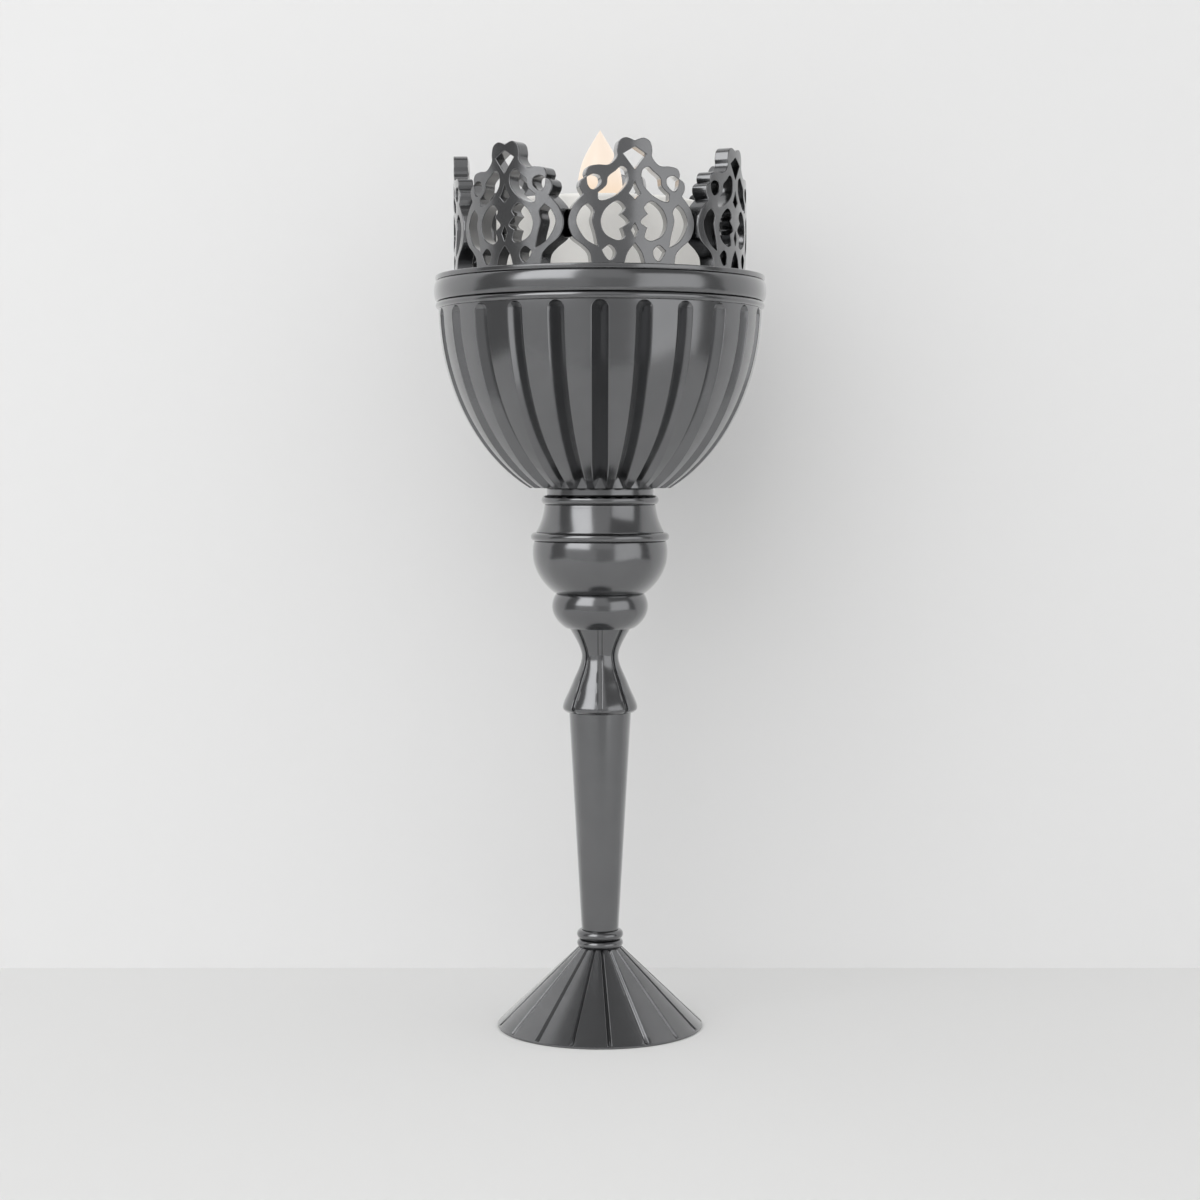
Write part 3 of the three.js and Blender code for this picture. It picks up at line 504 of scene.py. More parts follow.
def foot():
    bottom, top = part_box("foot")[0].z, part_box("foot")[1].z
    lip = bottom + FOOT_LIP_HEIGHT
    slope = (FOOT_RADIUS - FOOT_LIP_CHAMFER - FOOT_TOP_RADIUS) / (top - lip)
    slant = math.hypot(1, slope)
    ceiling = top - FOOT_CROWN
    groove_end = lip + FOOT_GROOVE_RUNOUT

    def cone(height):
        return FOOT_TOP_RADIUS + slope * (top - height)

    def row(radius, height, depth_share=0):
        rise = max(0, (height - groove_end) / (top - groove_end))
        width = FOOT_GROOVE_WIDTH + (FOOT_GROOVE_TOP_WIDTH - FOOT_GROOVE_WIDTH) * rise
        depth = FOOT_GROOVE_DEPTH + (FOOT_GROOVE_TOP_DEPTH - FOOT_GROOVE_DEPTH) * rise
        section = groove_section(VEE_HALF, width, depth * slant * depth_share)
        return cut_row(radius, height, FOOT_GROOVES, FOOT_GROOVE_ANGLE, section, FOOT_LAND_STEPS)

    plain_angles = [angle for _, angle, _ in row(FOOT_RADIUS, bottom)]
    hollow = cone(bottom) - FOOT_WALL * slant
    hollow_top = cone(ceiling) - FOOT_WALL * slant
    rows = [
        circle_row(hollow_top, ceiling, plain_angles),
        circle_row(hollow, bottom, plain_angles),
        row(FOOT_RADIUS - FOOT_LIP_CHAMFER, bottom),
        row(FOOT_RADIUS, bottom + FOOT_LIP_CHAMFER),
        row(FOOT_RADIUS, lip - 2 * FOOT_LIP_CHAMFER),
        row(FOOT_RADIUS - FOOT_LIP_ROUNDING * FOOT_LIP_CHAMFER, lip - FOOT_LIP_CHAMFER),
        row(FOOT_RADIUS - FOOT_LIP_CHAMFER, lip),
    ]
    for step in range(1, FOOT_RUNOUT_ROWS + 1):
        height = lip + FOOT_GROOVE_RUNOUT * step / FOOT_RUNOUT_ROWS
        rows.append(row(cone(height), height, math.sin(math.pi / 2 * step / FOOT_RUNOUT_ROWS)))
    for step in range(1, FOOT_ROWS + 1):
        height = groove_end + (top - groove_end) * step / FOOT_ROWS
        rows.append(row(cone(height), height, 1))
    rows.append(circle_row(BOLT_BORE, top, plain_angles))
    rows.append(circle_row(BOLT_BORE, ceiling, plain_angles))
    return grid("fine_foot", rows, GROOVED_SHARP)


def neck():
    bottom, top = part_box("neck")[0].z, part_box("neck")[1].z
    outline = smooth_curve([
        (NECK_BASE_RADIUS - NECK_UNDERCUT, bottom),
        (NECK_BASE_RADIUS, bottom + NECK_SHOULDER),
        ((NECK_BASE_RADIUS + NECK_WAIST_RADIUS) / 2, bottom + NECK_BELOW_WAIST / 2),
        (NECK_WAIST_RADIUS, bottom + NECK_BELOW_WAIST),
        (NECK_TOP_RADIUS, top),
    ])
    section = groove_section(CHANNEL_HALF, NECK_GROOVE_WIDTH, NECK_GROOVE_DEPTH)
    rows = [cut_row(radius, height, NECK_GROOVES, 0, section, NECK_LAND_STEPS) for radius, height in outline]
    angles = [angle for _, angle, _ in rows[0]]
    rows.append(circle_row(BOLT_BORE, top, angles))
    rows.append(circle_row(BOLT_BORE, bottom, angles))
    return grid("fine_neck", rows, GROOVED_SHARP)


def bowl():
    bottom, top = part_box("bowl")[0].z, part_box("bowl")[1].z
    height = top - bottom
    radius = span("candle_cup")[2] - BOWL_STEP
    centre = height + BOWL_EQUATOR_ABOVE
    start = math.asin(BOWL_BOTTOM_RADIUS / radius)
    half_height = centre / math.cos(start)
    pitch = 2 * math.pi / FLUTES
    bottom_share = (BOWL_BOTTOM_RADIUS * math.sin(pitch / 2) - FLUTE_BOTTOM_LAND / 2) / FLUTE_RADIUS
    flute_end = height - FLUTE_TOP_GAP - FLUTE_RADIUS

    def angle_at(level):
        return math.acos((centre - level) / half_height)

    def row(angle, width_share, depth_share, at_bottom=False):
        across = radius * math.sin(angle)
        level = bottom + centre - half_height * math.cos(angle)
        normal = Vector((half_height * math.sin(angle), -radius * math.cos(angle))).normalized()
        section = groove_section(VEE_HALF, 2 * FLUTE_RADIUS * width_share, FLUTE_DEPTH * depth_share)
        inward = 1 / normal.x if at_bottom else normal.x
        lift = 0 if at_bottom else -normal.y
        return cut_row(across, level, FLUTES, 0, section, FLUTE_LAND_STEPS, inward, lift)

    rows = [row(start, bottom_share, 1, True)]
    straight_end = angle_at(flute_end)
    for step in range(BOWL_ROWS + 1):
        t = step / BOWL_ROWS
        widening = min(1, t / FLUTE_WIDENING)
        width_share = bottom_share + (1 - bottom_share) * widening
        rows.append(row(start + (straight_end - start) * t, width_share, 1))
    for step in range(1, FLUTE_END_ROWS + 1):
        turn = math.pi / 2 * step / FLUTE_END_ROWS
        share = max(math.cos(turn), FLUTE_LEAST_SHARE)
        rows.append(row(angle_at(flute_end + FLUTE_RADIUS * math.sin(turn)), share, math.cos(turn)))
    rows.append(row(angle_at(height - FLUTE_TOP_GAP / 2), FLUTE_GAP_SHARE, 0))
    rows.append(row(angle_at(height), 1, 0))

    # Hollow that follows the outside, down to the bolt's hole
    angles = [angle for _, angle, _ in rows[-1]]
    inner_half = half_height - BOWL_WALL
    top_angle = math.acos((centre - height) / inner_half)
    floor_angle = math.acos((centre - BOWL_FLOOR) / inner_half)
    for step in range(ARC_STEPS + 1):
        angle = top_angle + (floor_angle - top_angle) * step / ARC_STEPS
        inner = (radius - BOWL_WALL) * math.sin(angle)
        rows.append(circle_row(inner, bottom + centre - inner_half * math.cos(angle), angles))
    rows.append(circle_row(BOLT_BORE, bottom + BOWL_FLOOR, angles))
    rows.append(circle_row(BOLT_BORE, bottom, angles))
    return grid("fine_bowl", rows, GROOVED_SHARP)


def bowl_disc():
    """Flat disc of the bowl that shows where the flutes run out."""
    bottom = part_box("bowl")[0].z
    outline = rounded([
        (BOLT_BORE, bottom),
        (BOWL_DISC_RADIUS, bottom, FINE_EDGE / 2),
        (BOWL_DISC_RADIUS, bottom + BOWL_DISC_HEIGHT),
        (BOLT_BORE, bottom + BOWL_DISC_HEIGHT),
    ])
    return turned("fine_bowl_disc", outline)


# Crown: the right half of a panel's outline and of its holes, in smooth stretches that meet in corners

TOP_LOBE = [
    (0, 20.75), (1.5, 21.25), (2.7, 20.65), (3.08, 19.3), (3.1, 18), (4.4, 16.68), (6.2, 16.65), (7.7, 16.35),
    (8.2, 15.4), (8.05, 14.7),
]
MIDDLE_LOBE = [(8.05, 14.7), (9, 14.05), (9.15, 12.9), (8.6, 11.75)]
LOWER_LOBE = [(8.6, 11.75), (10.2, 9.8), (11, 7.2), (10.3, 4.7), (8.4, 3), (7.45, 1.8), (7.2, 0)]
PANEL_FOOT = [(7.2, 0), (1.8, 0)]
FOOT_ARCH = [(1.8, 0), (1.2, 2), (0, 3.6)]
PANEL_EDGE = [TOP_LOBE, MIDDLE_LOBE, LOWER_LOBE, PANEL_FOOT, FOOT_ARCH]
MIDDLE_HOLES = [
    [[(0, 19.75), (2, 18.5)], [(2, 18.5), (0, 15.9)]],
    [[(0, 13.95), (0.4, 12.95), (1, 11.9)], [(1, 11.9), (0, 10.95)]],
    [[(0, 7), (0.6, 5.75)], [(0.6, 5.75), (0, 4.4)]],
]
SIDE_HOLES = [
    [[(6.15, 12), (4.8, 13.2), (4.5, 14.6), (3.3, 15.6), (2.3, 16.4), (1.3, 15.7), (1.3, 13.8), (2.7, 12),
      (4.6, 10.9), (6, 10.75), (6.15, 12)]],
    [[(8, 14.55), (7, 15.1), (5.85, 14.7), (5.8, 13.5), (7, 12.5), (7.8, 13.2), (8, 14.55)]],
    [
        [(2.3, 8.5), (1.65, 9.6), (3, 10.65), (4.9, 9.3), (5.7, 7.2), (5, 5.1), (3, 4.05), (1.75, 4.6),
         (2.2, 6.2)],
        [(2.2, 6.2), (1, 7.15), (2.3, 8.5)],
    ],
    [
        [(7.85, 10.25), (6.9, 9.1), (7.15, 7.4), (6.6, 5.1), (6.2, 3)],
        [(6.2, 3), (8.3, 4.35), (9.65, 7.1), (9, 9.2), (7.85, 10.25)],
    ],
    [[(5.5, 2.4), (4.3, 3.3), (3.3, 2.4), (3.5, 1.2), (4.3, 0.65), (5.1, 1.5), (5.5, 2.4)]],
]


def mirrored(stretches):
    """The same stretches on the left, run backwards."""
    return [[(-x, y) for x, y in reversed(stretch)] for stretch in reversed(stretches)]


def even_points(stretch):
    """Points along a smooth stretch, about a step apart, without its last one."""
    fine = smooth_curve(stretch)
    lengths = [0]
    for before, after in zip(fine, fine[1:]):
        lengths.append(lengths[-1] + (after - before).length)
    count = max(2, round(lengths[-1] / CROWN_STEP))
    points = []
    place = 0
    for step in range(count):
        target = lengths[-1] * step / count
        while lengths[place + 1] < target:
            place += 1
        share = (target - lengths[place]) / (lengths[place + 1] - lengths[place])
        points.append(fine[place].lerp(fine[place + 1], share))
    return points


def crown_loops(crown_outside):
    """Outline and holes of one panel as closed loops, each with the metal on its left."""
    drawn = [point for stretch in PANEL_EDGE for point in stretch]
    half_width = crown_outside * math.sin(math.pi / CROWN_PANELS) - CROWN_GAP / 2
    across = half_width / max(x for x, _ in drawn)
    up = CROWN_HEIGHT / max(y for _, y in drawn)
    shapes = [PANEL_EDGE + mirrored(PANEL_EDGE)]
    shapes += [hole + mirrored(hole) for hole in MIDDLE_HOLES]
    for hole in SIDE_HOLES:
        shapes += [hole, mirrored(hole)]
    loops = []
    for index, shape in enumerate(shapes):
        scaled = [[(x * across, y * up) for x, y in stretch] for stretch in shape]
        loop = [point for stretch in scaled for point in even_points(stretch)]
        area = sum(a.x * b.y - b.x * a.y for a, b in zip(loop, loop[1:] + loop[:1]))
        if (area > 0) != (index == 0):
            loop.reverse()
        loops.append(loop)
    return loops


def inset_directions(loop):
    """For each point, the way into the metal, long enough to move both edges by one."""
    directions = []
    for before, point, after in zip(loop[-1:] + loop[:-1], loop, loop[1:] + loop[:1]):
        arriving = (point - before).normalized()
        leaving = (after - point).normalized()
        left = Vector((-arriving.y - leaving.y, arriving.x + leaving.x)).normalized()
        turn = left.dot(Vector((-leaving.y, leaving.x)))
        directions.append(left / max(CROWN_LEAST_TURN, turn))
    return directions


def tree_of(loops):
    """The points of some loops, to find the nearest one."""
    points = [point for loop in loops for point in loop]
    tree = KDTree(len(points))
    for index, point in enumerate(points):
        tree.insert((point.x, point.y, 0), index)
    tree.balance()
    return tree


def bevel_ways(loops):
    """The way and size of the bevel at each point, smaller where the metal to the next edge is thin."""
    ways = []
    for loop in loops:
        others = tree_of([other for other in loops if other is not loop])
        loop_ways = []
        for point, way in zip(loop, inset_directions(loop)):
            metal = others.find((point.x, point.y, 0))[2]
            loop_ways.append(way * min(CROWN_BEVEL, CROWN_BEVEL_SHARE * metal))
        ways.append(loop_ways)
    return ways


def is_inside(point, loops):
    """True on the metal: inside the outline and outside the holes."""
    inside = False
    for loop in loops:
        for a, b in zip(loop, loop[1:] + loop[:1]):
            if (a.y > point.y) != (b.y > point.y):
                if point.x < a.x + (b.x - a.x) * (point.y - a.y) / (b.y - a.y):
                    inside = not inside
    return inside


def face_points(loops):
    """Points spread over the metal, clear of its edges."""
    tree = tree_of(loops)
    half_columns = math.ceil(max(point.x for point in loops[0]) / CROWN_MESH)
    rows = math.ceil(CROWN_HEIGHT / CROWN_MESH)
    points = []
    for row in range(rows):
        for column in range(-half_columns, half_columns + 1):
            point = Vector(((column + row % 2 / 2) * CROWN_MESH, (row + 0.5) * CROWN_MESH))
            clear = tree.find((point.x, point.y, 0))[2] > CROWN_MESH / 2
            if clear and is_inside(point, loops):
                points.append(point)
    return points


def panel_mesh(crown_outside):
    """Vertices and faces of one panel at the front, curved to the crown's radius, with bevelled edges."""
    loops = crown_loops(crown_outside)
    ways = bevel_ways(loops)

    # Levels through the wall from the outside in, as (share of the bevel, depth)
    bevel = []
    for step in range(CROWN_BEVEL_STEPS + 1):
        turn = math.pi / 2 * step / CROWN_BEVEL_STEPS
        bevel.append((1 - math.sin(turn), CROWN_BEVEL * (1 - math.cos(turn))))
    levels = bevel + [(share, CROWN_WALL - depth) for share, depth in reversed(bevel)]

    def place(point, depth):
        radius = crown_outside - depth
        return (point.x, -math.sqrt(radius ** 2 - point.x ** 2), point.y)

    verts = []
    for share, depth in levels:
        for loop, loop_ways in zip(loops, ways):
            verts += [place(point + way * share, depth) for point, way in zip(loop, loop_ways)]
    level_size = sum(len(loop) for loop in loops)
    faces = []
    for level in range(len(levels) - 1):
        first = level * level_size
        for loop in loops:
            for index in range(len(loop)):
                here = first + index
                after = first + (index + 1) % len(loop)
                faces.append((here, here + level_size, after + level_size, after))
            first += len(loop)

    # Front and back faces, with points between the edges so that they follow the curve
    inset_loops = []
    for loop, loop_ways in zip(loops, ways):
        inset_loops.append([point + way for point, way in zip(loop, loop_ways)])
    flat = [point for loop in inset_loops for point in loop]
    edges = []
    first = 0
    for loop in inset_loops:
        edges += [(first + index, first + (index + 1) % len(loop)) for index in range(len(loop))]
        first += len(loop)
    between = face_points(inset_loops)
    net = delaunay_2d_cdt(flat + between, edges, [], 0, CROWN_POINT_DISTANCE)
    corners, _, triangles, sources, _, _ = net
    front_between = len(verts)
    verts += [place(point, 0) for point in between]
    back_between = len(verts)
    verts += [place(point, CROWN_WALL) for point in between]
    last_level = (len(levels) - 1) * level_size
    for triangle in triangles:
        middle = sum((corners[corner] for corner in triangle), Vector((0, 0))) / 3
        if not is_inside(middle, inset_loops):
            continue
        used = [sources[corner][0] for corner in triangle]
        faces.append([i if i < level_size else i - level_size + front_between for i in used])
        back = [i + last_level if i < level_size else i - level_size + back_between for i in used]
        faces.append(back[::-1])
    return verts, faces


def bevel_rims(shape):
    """Numbers of the edges where the front or back of an unturned panel meets its bevel."""
    shape.edges.index_update()
    shape.normal_update()
    rims = []
    for edge in shape.edges:
        flat = 0
        for face in edge.link_faces:
            middle = face.calc_center_median()
            outward = Vector((middle.x, middle.y, 0)).normalized()
            flat += abs(face.normal.dot(outward)) > CROWN_FLAT_FACE
        if flat == 1:
            rims.append(edge.index)
    return rims


def crown(material):
    """All panels, mitred where neighbours meet, each turned to its place on the flange."""
    cup_top, cup_radius = span("candle_cup")[1:]
    verts, faces = panel_mesh(cup_radius - CROWN_LEDGE)
    mitre = math.pi / CROWN_PANELS
    for panel in range(CROWN_PANELS):
        node = f"crown_panel_{panel + 1}"
        mesh = bpy.data.meshes.new("fine_" + node)
        mesh.from_pydata(verts, [], faces)
        shape = bmesh.new()
        shape.from_mesh(mesh)
        clean_shape(shape)
        for side in (-1, 1):
            outward = Vector((side * math.cos(mitre), math.sin(mitre), 0))
            parts = shape.verts[:] + shape.edges[:] + shape.faces[:]
            cut = bmesh.ops.bisect_plane(
                shape,
                geom=parts,
                dist=CROWN_CUT_DISTANCE,
                plane_co=-outward * CROWN_MITRE_GAP / 2,
                plane_no=outward,
                clear_outer=True,
            )
            rim = [part for part in cut["geom_cut"] if isinstance(part, bmesh.types.BMEdge)]
            bmesh.ops.holes_fill(shape, edges=rim, sides=0)
        bmesh.ops.recalc_face_normals(shape, faces=shape.faces)
        rims = bevel_rims(shape)
        turn = Matrix.Rotation(CROWN_ANGLE + 2 * math.pi * panel / CROWN_PANELS, 4, "Z")
        shape.transform(Matrix.Translation((0, 0, cup_top)) @ turn)
        piece = object_of("fine_" + node, shape, mesh, CROWN_SHARP)
        for number in rims:
            mesh.edges[number].use_edge_sharp = True
        put(piece, node, material, "holder")


# Tea light

def candle_body():
    bottom, top, radius = span("candle_body")
    inside = radius - CANDLE_WALL
    ceiling = top - CANDLE_TOP
    pool_middle = (CANDLE_POOL_INSIDE + CANDLE_POOL_OUTSIDE) / 2
    pool_half = (CANDLE_POOL_OUTSIDE - CANDLE_POOL_INSIDE) / 2
    pool = []
    for step in range(4 * ARC_STEPS + 1):
        turn = math.pi * step / (4 * ARC_STEPS)
        dip = CANDLE_POOL_DEPTH * math.sin(turn) ** 2
        pool.append((pool_middle + pool_half * math.cos(turn), top - dip))
    outline = rounded([
        (inside, bottom),
        (radius, bottom, EDGE),
        (radius, top, CANDLE_EDGE),
        *pool,
        (LED_HOLE, top, FINE_EDGE),
        (LED_HOLE, ceiling),
        (inside, ceiling),
    ])
    return turned("fine_candle_body", outline)


def flame():
    bottom, top, _ = span("flame")

    def outline(shrink, tip):
        return smooth_curve([
            (FLAME_BASE_RADIUS - shrink, bottom),
            (FLAME_RADIUS - shrink, bottom + FLAME_BELOW),
            (FLAME_SHOULDER_RADIUS - shrink, bottom + FLAME_BELOW + FLAME_MIDDLE - shrink),
            (0, tip),
        ])

    inner = outline(FLAME_WALL, top - FLAME_TIP_WALL)
    return turned("fine_flame", [*inner[::-1], *outline(0, top)], SLIM_SIDES)


# Materials

def new_material(name):
    """A material with its node tree, its shader and the place in the frame as a texture coordinate."""
    material = bpy.data.materials.new(name)
    material.use_nodes = True
    tree = material.node_tree
    shader = tree.nodes["Principled BSDF"]
    place = tree.nodes.new("ShaderNodeTexCoord").outputs["Object"]
    return material, tree, shader, place


def noise(tree, place, scale, detail=NOISE_DETAIL):
    node = tree.nodes.new("ShaderNodeTexNoise")
    node.inputs["Scale"].default_value = scale
    node.inputs["Detail"].default_value = detail
    tree.links.new(place, node.inputs["Vector"])
    return node.outputs["Fac"]


def ramp(tree, value, stops):
    """Colour ramp with stops of (position, colour)."""
    node = tree.nodes.new("ShaderNodeValToRGB")
    elements = node.color_ramp.elements
    while len(elements) < len(stops):
        elements.new(0.5)
    for element, (position, colour) in zip(elements, stops):
        element.position = position
        element.color = (*colour, 1)
    tree.links.new(value, node.inputs["Fac"])
    return node.outputs["Color"]


def spread(tree, value, low, high):
    """The middle of a noise mapped to a range."""
    node = tree.nodes.new("ShaderNodeMapRange")
    node.inputs["From Min"].default_value = NOISE_LOW
    node.inputs["From Max"].default_value = NOISE_HIGH
    node.inputs["To Min"].default_value = low
    node.inputs["To Max"].default_value = high
    tree.links.new(value, node.inputs["Value"])
    return node.outputs["Result"]


def bump(tree, shader, value, strength):
    node = tree.nodes.new("ShaderNodeBump")
    node.inputs["Strength"].default_value = strength
    node.inputs["Distance"].default_value = GRAIN_DEPTH
    tree.links.new(value, node.inputs["Height"])
    tree.links.new(node.outputs["Normal"], shader.inputs["Normal"])


def satin(name, dark, light, metallic, roughness, grain):
    """Mottled finish: two close colours, uneven gloss and a fine grain."""
    material, tree, shader, place = new_material(name)
    clouds = noise(tree, place, CLOUD_SCALE)
    speckle = noise(tree, place, SPECKLE_SCALE, SPECKLE_DETAIL)
    colour = ramp(tree, clouds, [(NOISE_LOW, dark), (NOISE_HIGH, light)])
    tree.links.new(colour, shader.inputs["Base Color"])
    gloss = spread(tree, noise(tree, place, GLOSS_SCALE), *roughness)
    tree.links.new(gloss, shader.inputs["Roughness"])
    shader.inputs["Metallic"].default_value = metallic
    bump(tree, shader, speckle, grain)
    return material


def dark_metal():
    """Dark grey metal under a thin clear lacquer, which brightens its edges."""
    material = satin(
        "dark_metal", (0.138, 0.14, 0.145), (0.155, 0.157, 0.162),
        metallic=1, roughness=(0.17, 0.2), grain=0.03,
    )
    shader = material.node_tree.nodes["Principled BSDF"]
    shader.inputs["Coat Weight"].default_value = 1
    shader.inputs["Coat Roughness"].default_value = LACQUER_ROUGHNESS
    return material


def wax_with_painted_glow():
    """Candle finish with a painted glow: its own colour also goes out as emission, which brightens it though
    it is no lamp.
    """
    material = satin(
        "wax", (0.56, 0.552, 0.53), (0.59, 0.582, 0.56),
        metallic=0, roughness=(0.45, 0.55), grain=0.1,
    )
    tree = material.node_tree
    shader = tree.nodes["Principled BSDF"]
    cream_and_painted_glow = shader.inputs["Base Color"].links[0].from_socket
    # Painted glow: the candle body's own colour sent out as emission
    tree.links.new(cream_and_painted_glow, shader.inputs["Emission Color"])
    shader.inputs["Emission Strength"].default_value = WAX_PAINTED_GLOW
    return material


def flame_material(bottom, top):
    """Glowing moulded flame, warmer at its foot."""
    material, tree, shader, place = new_material("flame_glow")
    split = tree.nodes.new("ShaderNodeSeparateXYZ")
    tree.links.new(place, split.inputs["Vector"])
    rise = tree.nodes.new("ShaderNodeMapRange")
    rise.inputs["From Min"].default_value = bottom
    rise.inputs["From Max"].default_value = top
    tree.links.new(split.outputs["Z"], rise.inputs["Value"])
    glow = ramp(tree, rise.outputs["Result"], [
        (0, FLAME_WARM),
        (FLAME_PALE_FROM, FLAME_PALE),
        (1, FLAME_PALE),
    ])
    tree.links.new(glow, shader.inputs["Emission Color"])
    shader.inputs["Emission Strength"].default_value = FLAME_GLOW
    milky = noise(tree, place, MILK_SCALE)
    body = ramp(tree, milky, [(NOISE_LOW, FLAME_BODY_DARK), (NOISE_HIGH, FLAME_BODY_LIGHT)])
    tree.links.new(body, shader.inputs["Base Color"])
    tree.links.new(spread(tree, milky, *FLAME_ROUGHNESS), shader.inputs["Roughness"])
    return material


def dress_inner_nodes():
    """Finish of the pieces that keep their solids: bolt and battery parts."""
    finishes = {
        "fastener": satin(
            "plain_steel", (0.3, 0.31, 0.32), (0.38, 0.39, 0.4),
            metallic=1, roughness=(0.3, 0.42), grain=0.2,
        ),
        "plastic": satin(
            "moulded_plastic", (0.68, 0.66, 0.61), (0.74, 0.72, 0.67),
            metallic=0, roughness=(0.45, 0.55), grain=0.15,
        ),
        "cell": satin(
            "plated_cell", (0.5, 0.5, 0.52), (0.58, 0.58, 0.6),
            metallic=1, roughness=(0.2, 0.3), grain=0.08,
        ),
        "lens": satin(
            "warm_resin", (0.82, 0.66, 0.4), (0.88, 0.73, 0.47),
            metallic=0, roughness=(0.15, 0.2), grain=0.02,
        ),
        "contact": satin(
            "spring_strip", (0.5, 0.43, 0.22), (0.58, 0.5, 0.27),
            metallic=1, roughness=(0.3, 0.4), grain=0.1,
        ),
    }
    for subpart in frame["record"]["subparts"]:
        finish = finishes.get(subpart["material_slot"])
        if finish:
            node = frame["nodes"][subpart["node"]]
            node.data.materials.clear()
            node.data.materials.append(finish)


# Stage, light and camera

def rectangle(left, right, front, back):
    """Corners of a level rectangle on the floor."""
    return [(left, front, 0), (right, front, 0), (right, back, 0), (left, back, 0)]


def plane(name, corners, faces=((0, 1, 2, 3),)):
    """Flat piece of the stage."""
    mesh = bpy.data.meshes.new(name)
    mesh.from_pydata(corners, [], faces)
    piece = bpy.data.objects.new(name, mesh)
    bpy.context.scene.collection.objects.link(piece)
    return piece


def paint(name, colour):
    """Matt paint, very slightly uneven."""
    material, tree, shader, place = new_material(name)
    lighter = [min(1, PAINT_SPREAD * part) for part in colour]
    clouds = noise(tree, place, PAINT_SCALE)
    uneven = ramp(tree, clouds, [(NOISE_LOW, colour), (NOISE_HIGH, lighter)])
    tree.links.new(uneven, shader.inputs["Base Color"])
    shader.inputs["Roughness"].default_value = PAINT_ROUGHNESS
    shader.inputs["Specular IOR Level"].default_value = PAINT_SHEEN
    return material


def seen_from_the_front(material):
    """Lets the back of a backdrop be looked through."""
    tree = material.node_tree
    side = tree.nodes.new("ShaderNodeNewGeometry")
    clear = tree.nodes.new("ShaderNodeBsdfTransparent")
    choice = tree.nodes.new("ShaderNodeMixShader")
    tree.links.new(side.outputs["Backfacing"], choice.inputs["Fac"])
    tree.links.new(tree.nodes["Principled BSDF"].outputs["BSDF"], choice.inputs[1])
    tree.links.new(clear.outputs["BSDF"], choice.inputs[2])
    tree.links.new(choice.outputs["Shader"], tree.nodes["Material Output"].inputs["Surface"])


def stage():
    """Floor and wall; the metal reflects only the near part of the floor."""
    half = STAGE_SIZE / 2
    near = rectangle(-FLOOR_SIDE, FLOOR_SIDE, -FLOOR_FRONT, WALL_BEHIND)
    far = rectangle(-half, half, -half, half)
    floor = plane("floor", near)
    ground = plane("ground", near + far, [(0, 4, 5, 1), (1, 5, 6, 2), (2, 6, 7, 3), (3, 7, 4, 0)])
    ground.visible_glossy = False
    floor_paint = paint("floor_paint", FLOOR_COLOUR)
    floor.data.materials.append(floor_paint)
    ground.data.materials.append(floor_paint)
    seen_from_the_front(floor_paint)
    wall = plane("wall", [
        (-half, WALL_BEHIND, 0),
        (half, WALL_BEHIND, 0),
        (half, WALL_BEHIND, half),
        (-half, WALL_BEHIND, half),
    ])
    wall_paint = paint("wall_paint", WALL_COLOUR)
    wall.data.materials.append(wall_paint)
    seen_from_the_front(wall_paint)
    surround = dim_room()


def dim_room():
    """Dim room round the stage, which the metal reflects and the camera doesn't see."""
    mesh = bpy.data.meshes.new("surround")
    shape = bmesh.new()
    bmesh.ops.create_icosphere(shape, subdivisions=ROOM_FINENESS, radius=STAGE_SIZE)
    bmesh.ops.reverse_faces(shape, faces=shape.faces)
    shape.to_mesh(mesh)
    shape.free()
    surround = bpy.data.objects.new("surround", mesh)
    bpy.context.scene.collection.objects.link(surround)
    surround.visible_camera = False
    surround.visible_diffuse = False
    material, _, shader, _ = new_material("dim_room")
    shader.inputs["Base Color"].default_value = (0, 0, 0, 1)
    shader.inputs["Emission Color"].default_value = (1, 1, 1, 1)
    shader.inputs["Emission Strength"].default_value = ROOM_LEVEL
    mesh.materials.append(material)
    return surround


def area_lamp(name, place, out, width, height, level):
    """Area lamp that faces against a direction; level is how bright its face looks."""
    lamp = bpy.data.lights.new(name, "AREA")
    lamp.shape = "RECTANGLE"
    lamp.size = width
    lamp.size_y = height
    lamp.energy = level * math.pi * width * height
    face = bpy.data.objects.new(name, lamp)
    face.location = place
    face.rotation_euler = out.to_track_quat("Z", "Y").to_euler()
    face.visible_camera = False
    bpy.context.scene.collection.objects.link(face)
    return face


def gloss_face(name, left, right, low, high, level):
    """Upright lamp between two azimuths and two heights that shows only in what is glossy."""
    middle = math.radians((left + right) / 2)
    out = Vector((math.sin(middle), -math.cos(middle), 0))
    width = 2 * LAMP_DISTANCE * math.tan(math.radians(right - left) / 2)
    place = out * LAMP_DISTANCE + Vector((0, 0, (low + high) / 2))
    area_lamp(name, place, out, width, high - low, level).visible_diffuse = False


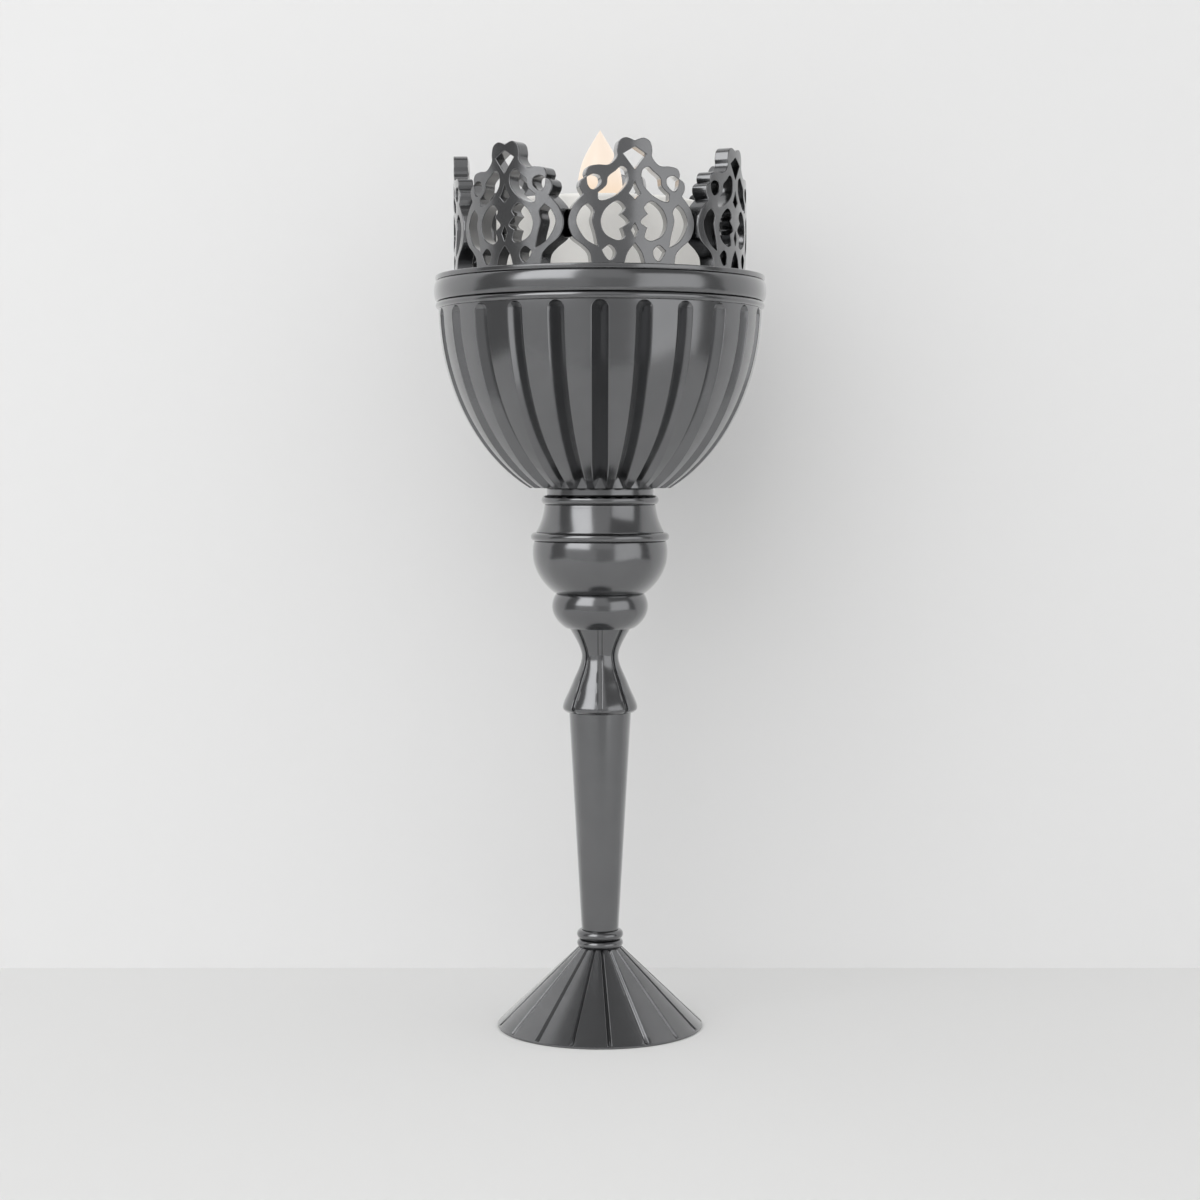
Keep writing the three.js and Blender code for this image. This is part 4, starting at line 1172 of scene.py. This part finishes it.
def light():
    """Key lamp, the faces that show in glossy metal, and an even pale world."""
    around, up = KEY_AZIMUTH, KEY_ELEVATION
    out = Vector((math.sin(around) * math.cos(up), -math.cos(around) * math.cos(up), math.sin(up)))
    key = area_lamp("key", AIM + out * LAMP_DISTANCE, out, KEY_WIDTH, KEY_HEIGHT, KEY_LEVEL)
    key.visible_glossy = False
    for name, face in GLOSS_FACES.items():
        gloss_face(name, *face)
    world = bpy.data.worlds.new("studio")
    world.use_nodes = True
    background = world.node_tree.nodes["Background"]
    background.inputs["Color"].default_value = WORLD_COLOUR
    background.inputs["Strength"].default_value = 1
    bpy.context.scene.world = world


def camera():
    lens = bpy.data.cameras.new("camera")
    lens.lens = CAMERA_LENS
    lens.sensor_width = CAMERA_SENSOR
    lens.clip_start = CAMERA_CLIP
    viewer = bpy.data.objects.new("camera", lens)
    viewer.location = CAMERA_PLACE
    viewer.rotation_euler = (math.pi / 2 - CAMERA_PITCH, 0, 0)
    bpy.context.scene.collection.objects.link(viewer)
    bpy.context.scene.camera = viewer


def holder():
    metal = dark_metal()
    pieces = {
        "foot": foot(),
        "lower_ring": bead("lower_ring", SLIM_SIDES),
        "upper_ring": bead("upper_ring", SLIM_SIDES),
        "stem": stem(),
        "neck": neck(),
        "lower_knop": knop("lower_knop", LOWER_KNOP_RADIUS, LOWER_KNOP_UNDERCUT, LOWER_KNOP_BELOW),
        "upper_knop": knop("upper_knop", UPPER_KNOP_RADIUS, UPPER_KNOP_UNDERCUT, UPPER_KNOP_BELOW),
        "knop_ring": bead("knop_ring"),
        "knop_cover": knop_cover(),
        "knop_bead": bead("knop_bead"),
        "bowl_collar": bowl_collar(),
        "bowl": bowl(),
        "rim_bead": bead("rim_bead", bore=RIM_BORE),
        "rim_band": rim_band(),
        "candle_cup": candle_cup(),
    }
    for node, piece in pieces.items():
        put(piece, node, metal, "holder")
    put(bowl_disc(), "bowl", metal, "holder")
    crown(metal)


def tea_light():
    put(candle_body(), "candle_body", wax_with_painted_glow(), "tea_light")
    glow = flame_material(*span("flame")[:2])
    put(flame(), "flame", glow, "tea_light")


clear_scene()
bpy.context.scene.view_settings.view_transform = "Standard"
camera()
light()
stage()
holder()
tea_light()
dress_inner_nodes()
